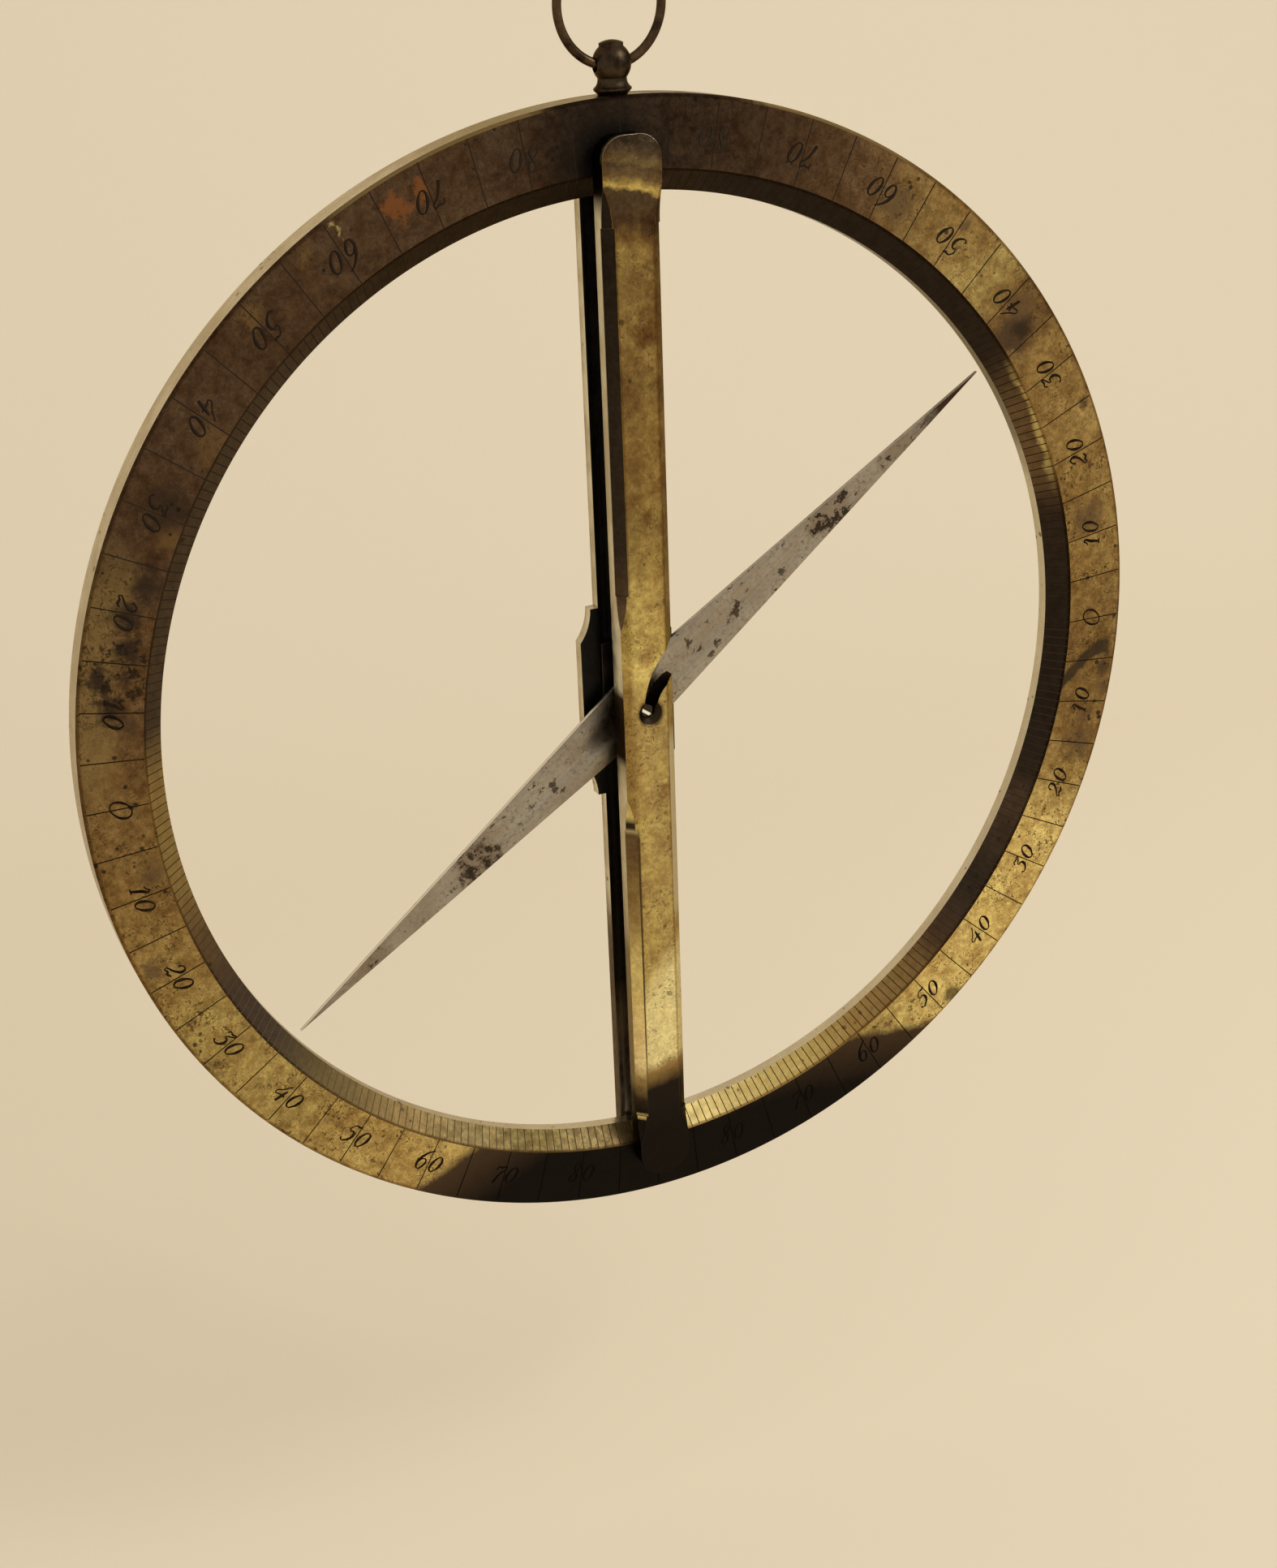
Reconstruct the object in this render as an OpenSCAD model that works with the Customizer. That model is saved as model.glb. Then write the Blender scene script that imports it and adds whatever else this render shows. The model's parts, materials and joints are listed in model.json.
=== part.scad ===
// Hand-held dip circle: a graduated brass limb hung from a bow, with two upright bars
// that carry a magnetised needle on a horizontal arbor.
// Millimetres. +Z is up, the graduated face looks along -Y, and the needle turns about Y.
// The origin is the point inside the top of the bow where the instrument hangs.

/* [Limb] */
// Outer diameter of the limb
limb_d = 180; // [140:1:240]
// Depth of the limb from its front face to its back
limb_t = 5; // [3.6:0.1:7]
// Radial width of the flat numbered face
limb_face_w = 10; // [9:0.1:14]
// Radial width of the bevel with the degree lines
limb_bevel_w = 3.1; // [1.5:0.1:5]
// Depth of the bevel below the front face
limb_bevel_t = 2.8; // [1:0.1:3.4]
// Broken edge all round the limb
limb_edge = 0.25; // [0.1:0.05:0.5]

/* [Front bar] */
// Width of the front bar
front_bar_w = 9.2; // [8.4:0.1:13]
// Thickness of the front bar
front_bar_t = 3.5; // [3.2:0.1:6]
// How far both bars lap over the limb's flat face
bar_lap = 5.2; // [4.6:0.1:6.5]
// Corner radius of the front bar's top end
front_bar_top_r = 3.4; // [1:0.1:4]
// Width of the bar's chamfers on its front face
chamfer_w = 1.6; // [0.6:0.1:2]
// Depth of the bar's chamfers on its sides
chamfer_t = 1.6; // [0.6:0.1:2.4]
// Distance from the limb's flat face to the chamfers' outer stops
chamfer_stop_gap = 7; // [6.5:0.1:14]
// Distance from the needle's axis to the chamfers' inner stops
chamfer_centre_gap = 19.4; // [18:0.1:30]
// Length of the lamb's tongue past each stop
tongue_l = 5.5; // [3:0.1:6]
// Height of the small step at each stop
quirk = 0.25; // [0.1:0.05:0.4]

/* [Loading slots] */
// Radius of the front slot's upper side
slot_upper_r = 14; // [13:0.1:18]
// Radius of the front slot's lower side
slot_lower_r = 5.5; // [5.2:0.1:7]
// Middle radius of the rear slot's bend
rear_slot_r = 7; // [6.5:0.1:8]
// Diameter of the oil sink round the front pivot
oil_sink_d = 4; // [3.2:0.1:5]
// Depth of the oil sink
oil_sink_t = 0.9; // [0.4:0.1:1.5]

/* [Rear bar] */
// Width of the rear bar
rear_bar_w = 9.4; // [8.4:0.1:11]
// Thickness of the rear bar
rear_bar_t = 2; // [1.8:0.1:4]
// Corner radius of the rear bar's ends
rear_bar_end_r = 2.8; // [1:0.1:3.6]
// Width of the rear bar's swelled middle
swell_w = 15.8; // [15:0.1:22]
// Width of the swelled middle at its shoulders
swell_neck_w = 12; // [11.5:0.1:14]
// Length of the swelled middle over its shoulders
swell_l = 31.2; // [28:0.1:40]
// Length of the swelled middle's straight sides
swell_straight_l = 20.6; // [18:0.1:24]

/* [Pivot plate] */
// Width of the pivot plate on the rear bar
pivot_plate_w = 9.4; // [7:0.1:12]
// Length of the pivot plate
pivot_plate_l = 20; // [18:0.1:26]
// Thickness of the pivot plate
pivot_plate_t = 0.8; // [0.4:0.1:1.2]

/* [Needle] */
// Gap between the needle's point and the limb's bore
needle_tip_gap = 1.7; // [0.6:0.1:5]
// Width of the needle at its middle
needle_w = 10; // [8:0.1:14]
// Thickness of the needle
needle_t = 0.8; // [0.5:0.05:1.2]
// Dip angle at which the needle is shown
needle_dip = 35.8; // [0:0.1:90]
// Diameter of the arbor's two journals
journal_d = 2; // [1.6:0.05:2.4]
// Diameter of the arbor between its journals
arbor_d = 3.4; // [3:0.1:5]
// Diameter of the arbor's flange and of the collar
collar_d = 6; // [5.4:0.1:8]
// How far the front journal's end lies below the front bar's face
journal_sink = 1.3; // [0.5:0.1:2]
// How far the rear journal's end lies below the rear bar's back
journal_back = 0.4; // [0.2:0.1:1]

/* [Fasteners] */
// Distance of the screws from the limb's inner face edge
fix_inset = 1.6; // [1.5:0.1:2]
// Diameter of the screws' shanks
screw_d = 2.4; // [1.6:0.1:2.4]
// Diameter of the screws' countersunk heads
screw_head_d = 4.4; // [3.6:0.1:4.7]
// Height of the screws' countersunk heads
screw_head_t = 1.2; // [0.8:0.1:1.4]
// Width and depth of the screws' driving slots
screw_slot = 0.6; // [0.3:0.05:0.7]
// How deep the screws and pins end below the front bar's face
fix_blind = 1.2; // [0.8:0.1:2]
// Diameter of the steady pins
steady_d = 1.1; // [0.8:0.1:1.2]
// Distance of the steady pins from the bar's middle line
steady_x = 3.1; // [3:0.05:3.4]

/* [Pendant and bow] */
// How far the pendant's axis lies behind the limb's front face
pendant_y = 2.37; // [1.9:0.01:2.8]
// Diameter of the pendant's ball
ball_d = 5.56; // [5:0.02:7]
// Height of the ball's middle above the pendant's seat
ball_h = 4.1; // [3.9:0.1:5]
// Diameter of the waist under the ball
waist_d = 4.16; // [3.8:0.02:4.4]
// Diameter of the pendant's foot at its lip
foot_d = 5.44; // [5:0.02:6.4]
// Diameter of the foot where it sits on the limb
foot_seat_d = 4; // [3.4:0.1:4.2]
// Height of the foot's lip above the seat
foot_lip_h = 0.95; // [0.8:0.05:1.2]
// Thickness of the foot's lip
foot_lip_t = 0.25; // [0.1:0.05:0.4]
// Height of the waist above the seat
waist_h = 2.1; // [1.9:0.1:2.3]
// Diameter of the button on top
button_d = 3.46; // [3:0.02:4]
// Height of the button's rim above the seat
button_h = 6.75; // [6.7:0.05:8]
// Height of the button's dome
button_dome = 0.4; // [0.2:0.05:0.8]
// Diameter of the pendant's threaded shank
shank_d = 2.5; // [1.6:0.1:3]
// Length of the pendant's threaded shank
shank_l = 5; // [3:0.1:5.2]
// Depth of the flat seat cut into the limb's rim
seat_t = 0.1; // [0.07:0.01:0.2]
// Outside diameter of the bow
bow_d = 17.1; // [15:0.1:30]
// Diameter of the bow's wire
wire_d = 1.3; // [1:0.05:1.6]

/* [Clearances] */
// Running clearance round a journal
run_clear = 0.05; // [0.01:0.01:0.1]
// Clearance round a screw or shank in its hole
fix_clear = 0.05; // [0.02:0.01:0.1]
// Clearance round a pin, or round the arbor in a part that it carries
seat_clear = 0.02; // [0.01:0.01:0.05]
// Endwise play of the arbor at each bar
end_shake = 0.3; // [0.2:0.05:0.35]
// Clearance round the bow in the pendant's cross hole
bow_clear = 0.08; // [0.03:0.01:0.1]

/* [Hidden] */
$fn = 128;

// Overrun of every cut past the face that it opens
over = 0.5;

// Limb radii: rim, inner edge of the flat face, bore
rim_r = limb_d / 2;
face_r = rim_r - limb_face_w;
bore_r = face_r - limb_bevel_w;

// Bars
bar_half_l = face_r + bar_lap;
fix_r = face_r + fix_inset;
rear_back_y = limb_t + rear_bar_t;
fix_front_y = fix_blind - front_bar_t;

// Chamfer section: its width across, and its depth and the tongue's below the square edge
chamfer_across = sqrt(pow(chamfer_w, 2) + pow(chamfer_t, 2));
chamfer_deep = chamfer_w * chamfer_t / chamfer_across;
tongue_deep = chamfer_deep - quirk;
tongue_r = (pow(tongue_l, 2) + pow(tongue_deep, 2)) / (2 * tongue_deep);
chamfer_out_z = face_r - chamfer_stop_gap;

// Hollow shoulders of the rear bar's swelled middle
shoulder_x = (swell_w - swell_neck_w) / 2;
shoulder_z = (swell_l - swell_straight_l) / 2;
shoulder_r = (pow(shoulder_x, 2) + pow(shoulder_z, 2)) / (2 * shoulder_x);

// Needle and arbor, along Y
journal_r = journal_d / 2;
pivot_hole_r = journal_r + run_clear;
needle_space = limb_t - pivot_plate_t;
arbor_body_l = needle_space - 2 * end_shake;
collar_t = (arbor_body_l - needle_t) / 2;
blade_front_y = end_shake + collar_t;
arbor_front_y = journal_sink - front_bar_t;
arbor_back_y = rear_back_y - journal_back;
needle_half_l = bore_r - needle_tip_gap;

// Pendant and bow, along Z from the middle of the limb
seat_z = rim_r - seat_t;
ball_r = ball_d / 2;
ball_z = seat_z + ball_h;
wire_r = wire_d / 2;
bow_r = bow_d / 2 - wire_r;
bow_rise = bow_r - sqrt(pow(bow_r, 2) - pow(ball_r, 2));
cross_hole_r = wire_r + bow_rise / 2 + bow_clear;
bow_z = ball_z - bow_rise / 2 + bow_r;
hang_z = bow_z + bow_r - wire_r;

// Puts the limb's middle below the point that the instrument hangs from
module hung() {
    translate([0, -pendant_y, -hang_z])
        children();
}

// Stands a flat outline upright, as a plate from y_front back to y_back
module upright(y_front, y_back) {
    translate([0, y_back, 0])
        rotate([90, 0, 0])
            linear_extrude(height = y_back - y_front)
                children();
}

// Straight round hole or pin along Y
module along_y(r, y_front, y_back) {
    translate([0, y_front, 0])
        rotate([-90, 0, 0])
            cylinder(r = r, h = y_back - y_front);
}

// The two places where the bars are fastened to the limb
module at_fixings() {
    for (z = [-fix_r, fix_r])
        translate([0, 0, z])
            children();
}

// The four places of the steady pins
module at_steady_pins() {
    for (x = [-steady_x, steady_x])
        at_fixings()
            translate([x, 0, 0])
                children();
}

// Upper half of a bar's flat outline, with an end whose corners are rounded
module eased_half(w, half_l, corner_r) {
    translate([-w / 2, 0])
        square([w, half_l - corner_r]);
    translate([corner_r - w / 2, 0])
        square([w - 2 * corner_r, half_l]);
    for (s = [-1, 1])
        translate([s * (w / 2 - corner_r), half_l - corner_r])
            circle(r = corner_r);
}

// Upper half of a bar's flat outline, with a half-round end
module round_half(w, half_l) {
    translate([-w / 2, 0])
        square([w, half_l - w / 2]);
    translate([0, half_l - w / 2])
        circle(d = w);
}

// Limb: a turned ring with a flat face, a graduated bevel and a plain land behind it
module limb() {
    color("#9a8046")
        hung()
            difference() {
                rotate([-90, 0, 0])
                    rotate_extrude()
                        polygon([
                            [bore_r, limb_bevel_t],
                            [face_r, 0],
                            [rim_r - limb_edge, 0],
                            [rim_r, limb_edge],
                            [rim_r, limb_t - limb_edge],
                            [rim_r - limb_edge, limb_t],
                            [bore_r + limb_edge, limb_t],
                            [bore_r, limb_t - limb_edge]
                        ]);
                at_fixings()
                    along_y(screw_d / 2 + fix_clear, -over, limb_t + over);
                at_steady_pins()
                    along_y(steady_d / 2 + seat_clear, -over, limb_t + over);
                translate([0, pendant_y, seat_z - shank_l - over])
                    cylinder(d = shank_d + 2 * fix_clear, h = shank_l + 2 * over);
                translate([0, pendant_y, seat_z])
                    cylinder(d = foot_d, h = seat_t + over);
            }
}

// One lamb's tongue: the hollow run-out past a chamfer's stop
module tongue_profile() {
    intersection() {
        translate([0, -over])
            square([tongue_l, over + tongue_deep]);
        translate([0, tongue_deep - tongue_r])
            circle(r = tongue_r);
    }
}

// Long section of a chamfer from z1 to z2, with a stepped tongue at both ends
module chamfer_profile(z1, z2) {
    translate([z1, -over])
        square([z2 - z1, over + chamfer_deep]);
    translate([z2, 0])
        tongue_profile();
    translate([z1, 0])
        mirror([1, 0])
            tongue_profile();
}

// Cut for a stopped chamfer on the front bar's left edge
module left_chamfer(z1, z2) {
    translate([-front_bar_w / 2, -front_bar_t, 0])
        rotate([0, 0, -atan2(chamfer_t, chamfer_w)])
            rotate([0, -90, 0])
                linear_extrude(height = 3 * chamfer_across, center = true)
                    chamfer_profile(z1, z2);
}

// Horn-shaped slot by which the needle's front journal is lifted out to the right
module front_slot_outline() {
    difference() {
        intersection() {
            translate([-pivot_hole_r, 0])
                square([pivot_hole_r + front_bar_w / 2 + over, slot_upper_r]);
            translate([slot_upper_r - pivot_hole_r, 0])
                circle(r = slot_upper_r);
        }
        translate([slot_lower_r + pivot_hole_r, 0])
            circle(r = slot_lower_r);
    }
}

// Bent slot of even width through the rear bar and the pivot plate
module rear_slot_outline() {
    intersection() {
        difference() {
            translate([rear_slot_r, 0])
                circle(r = rear_slot_r + pivot_hole_r);
            translate([rear_slot_r, 0])
                circle(r = rear_slot_r - pivot_hole_r);
        }
        translate([-pivot_hole_r, 0])
            square([rear_slot_r + pivot_hole_r, rear_slot_r + pivot_hole_r]);
    }
    translate([rear_slot_r, rear_slot_r - pivot_hole_r])
        square([swell_w / 2 - rear_slot_r + over, 2 * pivot_hole_r]);
}

// Front bar: square at the ends and round the pivot, chamfered between, with an open slot
module front_bar() {
    color("#a58a4c")
        hung()
            difference() {
                upright(-front_bar_t, 0) {
                    eased_half(front_bar_w, bar_half_l, front_bar_top_r);
                    mirror([0, 1])
                        round_half(front_bar_w, bar_half_l);
                }
                left_chamfer(chamfer_centre_gap, chamfer_out_z);
                left_chamfer(-chamfer_out_z, -chamfer_centre_gap);
                mirror([1, 0, 0])
                    left_chamfer(-chamfer_out_z, chamfer_out_z);
                upright(-front_bar_t - over, over)
                    front_slot_outline();
                along_y(pivot_hole_r, -front_bar_t - over, over);
                translate([0, -front_bar_t, 0])
                    rotate([-90, 0, 0])
                        cylinder(d1 = oil_sink_d, d2 = 2 * pivot_hole_r, h = oil_sink_t);
                at_fixings()
                    along_y(screw_d / 2 + fix_clear, fix_front_y - fix_clear, over);
                at_steady_pins()
                    along_y(steady_d / 2 + seat_clear, fix_front_y - fix_clear, over);
            }
}

// Outline of the rear bar's wider middle, with a hollow shoulder at each corner
module swell_outline() {
    difference() {
        square([swell_w, swell_l], center = true);
        for (sx = [-1, 1], sz = [-1, 1])
            translate([sx * (swell_neck_w / 2 + shoulder_r), sz * swell_l / 2])
                circle(r = shoulder_r);
    }
}

// Countersunk screw, or the hole for one when it is grown by a clearance
module countersunk(grow, y_end, y_head) {
    along_y(screw_d / 2 + grow, y_end, rear_back_y);
    translate([0, rear_back_y - screw_head_t, 0])
        rotate([-90, 0, 0])
            cylinder(d1 = screw_d + 2 * grow, d2 = screw_head_d + 2 * grow, h = screw_head_t);
    along_y(screw_head_d / 2 + grow, rear_back_y, y_head);
}

// Rear bar: a plain bar behind the limb with a swelled, shouldered middle
module rear_bar() {
    color("#8d7440")
        hung()
            difference() {
                upright(limb_t, rear_back_y) {
                    eased_half(rear_bar_w, bar_half_l, rear_bar_end_r);
                    mirror([0, 1])
                        eased_half(rear_bar_w, bar_half_l, rear_bar_end_r);
                    swell_outline();
                }
                upright(limb_t - over, rear_back_y + over)
                    rear_slot_outline();
                along_y(pivot_hole_r, limb_t - over, rear_back_y + over);
                at_fixings()
                    countersunk(fix_clear, limb_t - over, rear_back_y + over);
                at_steady_pins()
                    along_y(steady_d / 2 + seat_clear, limb_t - over, rear_back_y + over);
            }
}

// Pivot plate: a thin plate on the rear bar's inner face that the rear journal runs in
module pivot_plate() {
    color("#7d6a44")
        hung()
            difference() {
                upright(needle_space, limb_t)
                    square([pivot_plate_w, pivot_plate_l], center = true);
                upright(needle_space - over, limb_t + over)
                    rear_slot_outline();
                along_y(pivot_hole_r, needle_space - over, limb_t + over);
            }
}

// Two countersunk screws that clamp the rear bar, the limb and the front bar together
module bar_screws() {
    color("#b09a5e")
        hung()
            at_fixings()
                difference() {
                    union() {
                        along_y(screw_d / 2, fix_front_y, rear_back_y - screw_head_t);
                        translate([0, rear_back_y - screw_head_t, 0])
                            rotate([-90, 0, 0])
                                cylinder(d1 = screw_d, d2 = screw_head_d, h = screw_head_t);
                    }
                    translate([-screw_head_d, rear_back_y - screw_slot, -screw_slot / 2])
                        cube([2 * screw_head_d, screw_slot + over, screw_slot]);
                }
}

// Four steady pins that keep the bars in line with the limb
module steady_pins() {
    color("#a08c58")
        hung()
            at_steady_pins()
                along_y(steady_d / 2, fix_front_y, rear_back_y);
}

// Turns what the needle carries to the dip angle
module dipped() {
    rotate([0, -needle_dip, 0])
        children();
}

// Needle: a flat steel lozenge
module needle_blade() {
    color("#8b8987")
        hung()
            dipped()
                difference() {
                    upright(blade_front_y, blade_front_y + needle_t)
                        polygon([
                            [-needle_half_l, 0],
                            [0, -needle_w / 2],
                            [needle_half_l, 0],
                            [0, needle_w / 2]
                        ]);
                    along_y(arbor_d / 2 + seat_clear, 0, limb_t);
                }
}

// Arbor: a turned steel axle with a journal at each end and a flange behind the blade
module needle_arbor() {
    color("#9a9a98")
        hung() {
            along_y(journal_r, arbor_front_y, arbor_back_y);
            along_y(arbor_d / 2, end_shake, end_shake + arbor_body_l);
            along_y(collar_d / 2, blade_front_y + needle_t, end_shake + arbor_body_l);
        }
}

// Collar: a ring driven on to the arbor to grip the blade against the flange
module needle_collar() {
    color("#9c8450")
        hung()
            difference() {
                along_y(collar_d / 2, end_shake, blade_front_y);
                along_y(arbor_d / 2 + seat_clear, 0, limb_t);
            }
}

// Section between a hollow curve and the axis. It starts at the wide radius and height, and the
// curve runs straight up where it ends at the thin ones
module hollow_flank(wide_r, wide_h, thin_r, thin_h) {
    rise = thin_h - wide_h;
    hollow_r = (pow(wide_r - thin_r, 2) + pow(rise, 2)) / (2 * (wide_r - thin_r));
    difference() {
        translate([0, wide_h])
            square([thin_r + hollow_r, rise]);
        translate([thin_r + hollow_r, thin_h])
            circle(r = hollow_r);
    }
}

// Turned section of the pendant, from its shank to its button, with its seat at height 0
module pendant_section() {
    dome_r = (pow(button_d / 2, 2) + pow(button_dome, 2)) / (2 * button_dome);
    translate([0, -shank_l])
        square([shank_d / 2, shank_l + waist_h]);
    polygon([
        [0, 0],
        [foot_seat_d / 2, 0],
        [foot_d / 2, foot_lip_h - foot_lip_t],
        [foot_d / 2, foot_lip_h],
        [0, foot_lip_h]
    ]);
    hollow_flank(foot_d / 2, foot_lip_h, waist_d / 2, waist_h);
    translate([0, waist_h])
        square([waist_d / 2, ball_h - waist_h]);
    intersection() {
        translate([0, ball_h])
            circle(r = ball_r);
        square([ball_r, ball_h + ball_r]);
    }
    translate([0, ball_h])
        square([button_d / 2, button_h - ball_h]);
    intersection() {
        translate([0, button_h])
            square([button_d / 2, button_dome]);
        translate([0, button_h + button_dome - dome_r])
            circle(r = dome_r);
    }
}

// Pendant: a turned stem screwed into the limb, with a cross hole for the bow
module pendant() {
    color("#6f5a34")
        hung()
            difference() {
                translate([0, pendant_y, seat_z])
                    rotate_extrude()
                        pendant_section();
                translate([-ball_d, pendant_y, ball_z])
                    rotate([0, 90, 0])
                        cylinder(r = cross_hole_r, h = 2 * ball_d);
            }
}

// Bow: a closed wire ring that hangs in the finger or on a hook
module bow() {
    color("#5f4c2c")
        hung()
            translate([0, pendant_y, bow_z])
                rotate([90, 0, 0])
                    rotate_extrude()
                        translate([bow_r, 0])
                            circle(r = wire_r);
}

limb();
front_bar();
rear_bar();
pivot_plate();
bar_screws();
steady_pins();
needle_blade();
needle_arbor();
needle_collar();
pendant();
bow();
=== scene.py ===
# %% [markdown]
# # A hand-held dip circle
# A dip circle is a brass ring that hangs from a small bow. A steel needle on a level axle inside it
# points along the earth's magnetic field, and the ring's divided face says how steeply. The exact
# solids come from CAD as a fixed frame. This lesson dresses them: the pieces that carry engraving or
# polished edges are modelled over again, and every surface gets the finish of old, handled metal.

# %% Load the frame
import json
import math

import bmesh
import bpy
from mathutils import Matrix, Vector

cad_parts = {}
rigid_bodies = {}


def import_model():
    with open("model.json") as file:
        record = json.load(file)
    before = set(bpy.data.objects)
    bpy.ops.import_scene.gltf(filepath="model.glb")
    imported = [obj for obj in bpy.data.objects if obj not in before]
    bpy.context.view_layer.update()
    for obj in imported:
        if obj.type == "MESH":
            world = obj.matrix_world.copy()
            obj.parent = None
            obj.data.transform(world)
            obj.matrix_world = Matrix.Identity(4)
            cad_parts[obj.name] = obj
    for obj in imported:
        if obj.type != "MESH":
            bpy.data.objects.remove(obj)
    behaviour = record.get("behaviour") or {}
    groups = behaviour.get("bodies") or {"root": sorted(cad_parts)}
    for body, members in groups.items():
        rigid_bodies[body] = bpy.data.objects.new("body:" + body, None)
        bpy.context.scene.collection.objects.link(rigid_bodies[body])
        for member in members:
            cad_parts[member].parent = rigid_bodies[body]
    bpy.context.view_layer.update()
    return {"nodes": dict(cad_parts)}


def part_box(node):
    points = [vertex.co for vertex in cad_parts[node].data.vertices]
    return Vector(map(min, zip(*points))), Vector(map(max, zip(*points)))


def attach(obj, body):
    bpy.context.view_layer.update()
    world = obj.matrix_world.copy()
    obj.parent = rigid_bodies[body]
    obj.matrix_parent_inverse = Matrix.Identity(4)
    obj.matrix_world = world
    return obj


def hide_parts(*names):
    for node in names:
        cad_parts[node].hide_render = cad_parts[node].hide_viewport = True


MM = 0.001
TOUCH = 0.01 * MM  # places closer than this count as one
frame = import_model()
limb_low, limb_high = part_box("limb")
RING_Z = (limb_low[2] + limb_high[2]) / 2
RIM_R = (limb_high[0] - limb_low[0]) / 2
FACE_Y, BACK_Y = limb_low[1], limb_high[1]
print("ring centre z and rim radius (mm):", round(RING_Z / MM, 3), round(RIM_R / MM, 3))

# %% [markdown]
# The camera comes first, so that every later look at the scene is the photograph's own view. Its
# place and lens were worked out from the straight division lines of the ring. It stands to the left,
# a little above the ring's top, and looks down; the lens shift lifts the frame to where the ring is.

# %% Camera
camera = bpy.data.objects.new("camera", bpy.data.cameras.new("camera"))
bpy.context.scene.collection.objects.link(camera)
camera.location = (-0.13567, -0.31083, 0.01385)
camera.rotation_euler = [math.radians(a) for a in (61.389, 3.173, -22.240)]
camera.data.sensor_width = 36
camera.data.lens = 51.104
camera.data.shift_x = 0.0606
camera.data.shift_y = 0.1677
camera.data.clip_start = 0.01
bpy.context.scene.camera = camera
print("camera at (mm):", [round(c / MM, 1) for c in camera.location])

# %% [markdown]
# Small helpers keep the modelling cells short. Operators act on whatever is selected, so `only`
# clears the selection and makes one piece active, and `pick` selects vertices in edit mode by a test
# on their place. Everything else is done with the same operators that a modeller would reach for.

# %% Modelling helpers
def only(piece):
    """Select one piece and make it active."""
    bpy.ops.object.select_all(action="DESELECT")
    piece.select_set(True)
    bpy.context.view_layer.objects.active = piece


def pick(piece, test):
    """In edit mode, select the vertices whose place passes the test, and count them."""
    bpy.ops.mesh.select_mode(type="VERT")
    bpy.ops.mesh.select_all(action="DESELECT")
    shape = bmesh.from_edit_mesh(piece.data)
    chosen = [v for v in shape.verts if test(v.co)]
    for v in chosen:
        v.select_set(True)
    shape.select_flush(True)
    bmesh.update_edit_mesh(piece.data)
    return len(chosen)


def settle(piece):
    """Put a piece's place into its mesh, so that its object sits at the origin."""
    only(piece)
    bpy.ops.object.transform_apply(location=True, rotation=True, scale=True)


def triangles(piece):
    return sum(len(p.vertices) - 2 for p in piece.data.polygons)


# %% [markdown]
# The limb is the ring itself. A turner makes it in one setting on the lathe, and a dividing engine
# then rules a line at each degree across the bevel and a long line at each fifth degree across the
# face. Here a fine circle stands for the work on the lathe: its loop is extruded from corner to corner
# of the section, as a tool would travel, and closed on itself. A Screw modifier could do the same, but
# extruding leaves every vertex on an exact degree, where the lines have to go.

# %% Turn the limb
STEPS_PER_DEGREE = 16
BORE_R, BEVEL_R = 76.9 * MM, 80.0 * MM
BEVEL_FOOT_Y = FACE_Y + 2.8 * MM
EDGE = 0.25 * MM
LINE_FOOT, LINE_HEAD, BEVEL_LIP = 0.05, 0.92, 0.97  # shares of the slope from foot to face
FACE_LIP = 0.06 * MM
MERGE = 0.001 * MM


def on_bevel(t):
    """Radius and depth on the bevel, from its foot at 0 to the face at 1."""
    return BORE_R + t * (BEVEL_R - BORE_R), BEVEL_FOOT_Y + t * (FACE_Y - BEVEL_FOOT_Y)


LINE_IN, LINE_OUT, LINE_END = 80.3 * MM, 89.3 * MM, 89.55 * MM
section = [
    (BORE_R + EDGE, BACK_Y), (BORE_R, BACK_Y - EDGE), on_bevel(0), on_bevel(LINE_FOOT),
    on_bevel(LINE_HEAD), on_bevel(BEVEL_LIP), (BEVEL_R + FACE_LIP, FACE_Y), (LINE_IN, FACE_Y),
    (LINE_OUT, FACE_Y), (LINE_END, FACE_Y), (RIM_R - EDGE, FACE_Y), (RIM_R, FACE_Y + EDGE),
    (RIM_R, BACK_Y - EDGE), (RIM_R - EDGE, BACK_Y), (BORE_R + EDGE, BACK_Y),
]
bpy.ops.object.select_all(action="DESELECT")
bpy.ops.mesh.primitive_circle_add(
    vertices=360 * STEPS_PER_DEGREE, radius=section[0][0], location=(0, section[0][1], RING_Z),
    rotation=(math.pi / 2, 0, 0))
limb = bpy.context.object
limb.name = "limb_divided"
settle(limb)
bpy.ops.object.mode_set(mode="EDIT")
bpy.ops.mesh.select_all(action="SELECT")
for (r0, y0), (r1, y1) in zip(section, section[1:]):
    bpy.ops.mesh.extrude_edges_move(TRANSFORM_OT_translate={"value": (0, y1 - y0, 0)})
    bpy.ops.transform.resize(value=(r1 / r0, 1, r1 / r0), center_override=(0, y1, RING_Z))
bpy.ops.mesh.select_all(action="SELECT")
bpy.ops.mesh.remove_doubles(threshold=MERGE)
bpy.ops.mesh.normals_make_consistent(inside=False)
print("limb loops:", len(section) - 1, "vertices:", len(bmesh.from_edit_mesh(limb.data).verts))

# %% [markdown]
# The graver leaves V-shaped furrows. Only the middle vertices of each line are pushed into the metal,
# and their neighbours stay on the surface, so each line is a true V with sloping walls. The ends run
# out to the surface, as they do where a graver is lifted. Lines drawn with a texture would be quicker,
# but they would catch no light.

# %% Rule the degree lines
LINE_DEPTH = 0.1 * MM
ON_LINE = 0.02  # degrees


def degrees(co):
    return math.degrees(math.atan2(co.z - RING_Z, co.x)) % 360


def radius(co):
    return math.hypot(co.x, co.z - RING_Z)


def on_multiple(co, step):
    steps = degrees(co) / step
    return abs(steps - round(steps)) * step < ON_LINE


def on_radius(co, *radii):
    return any(abs(radius(co) - r) < TOUCH for r in radii)


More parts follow.
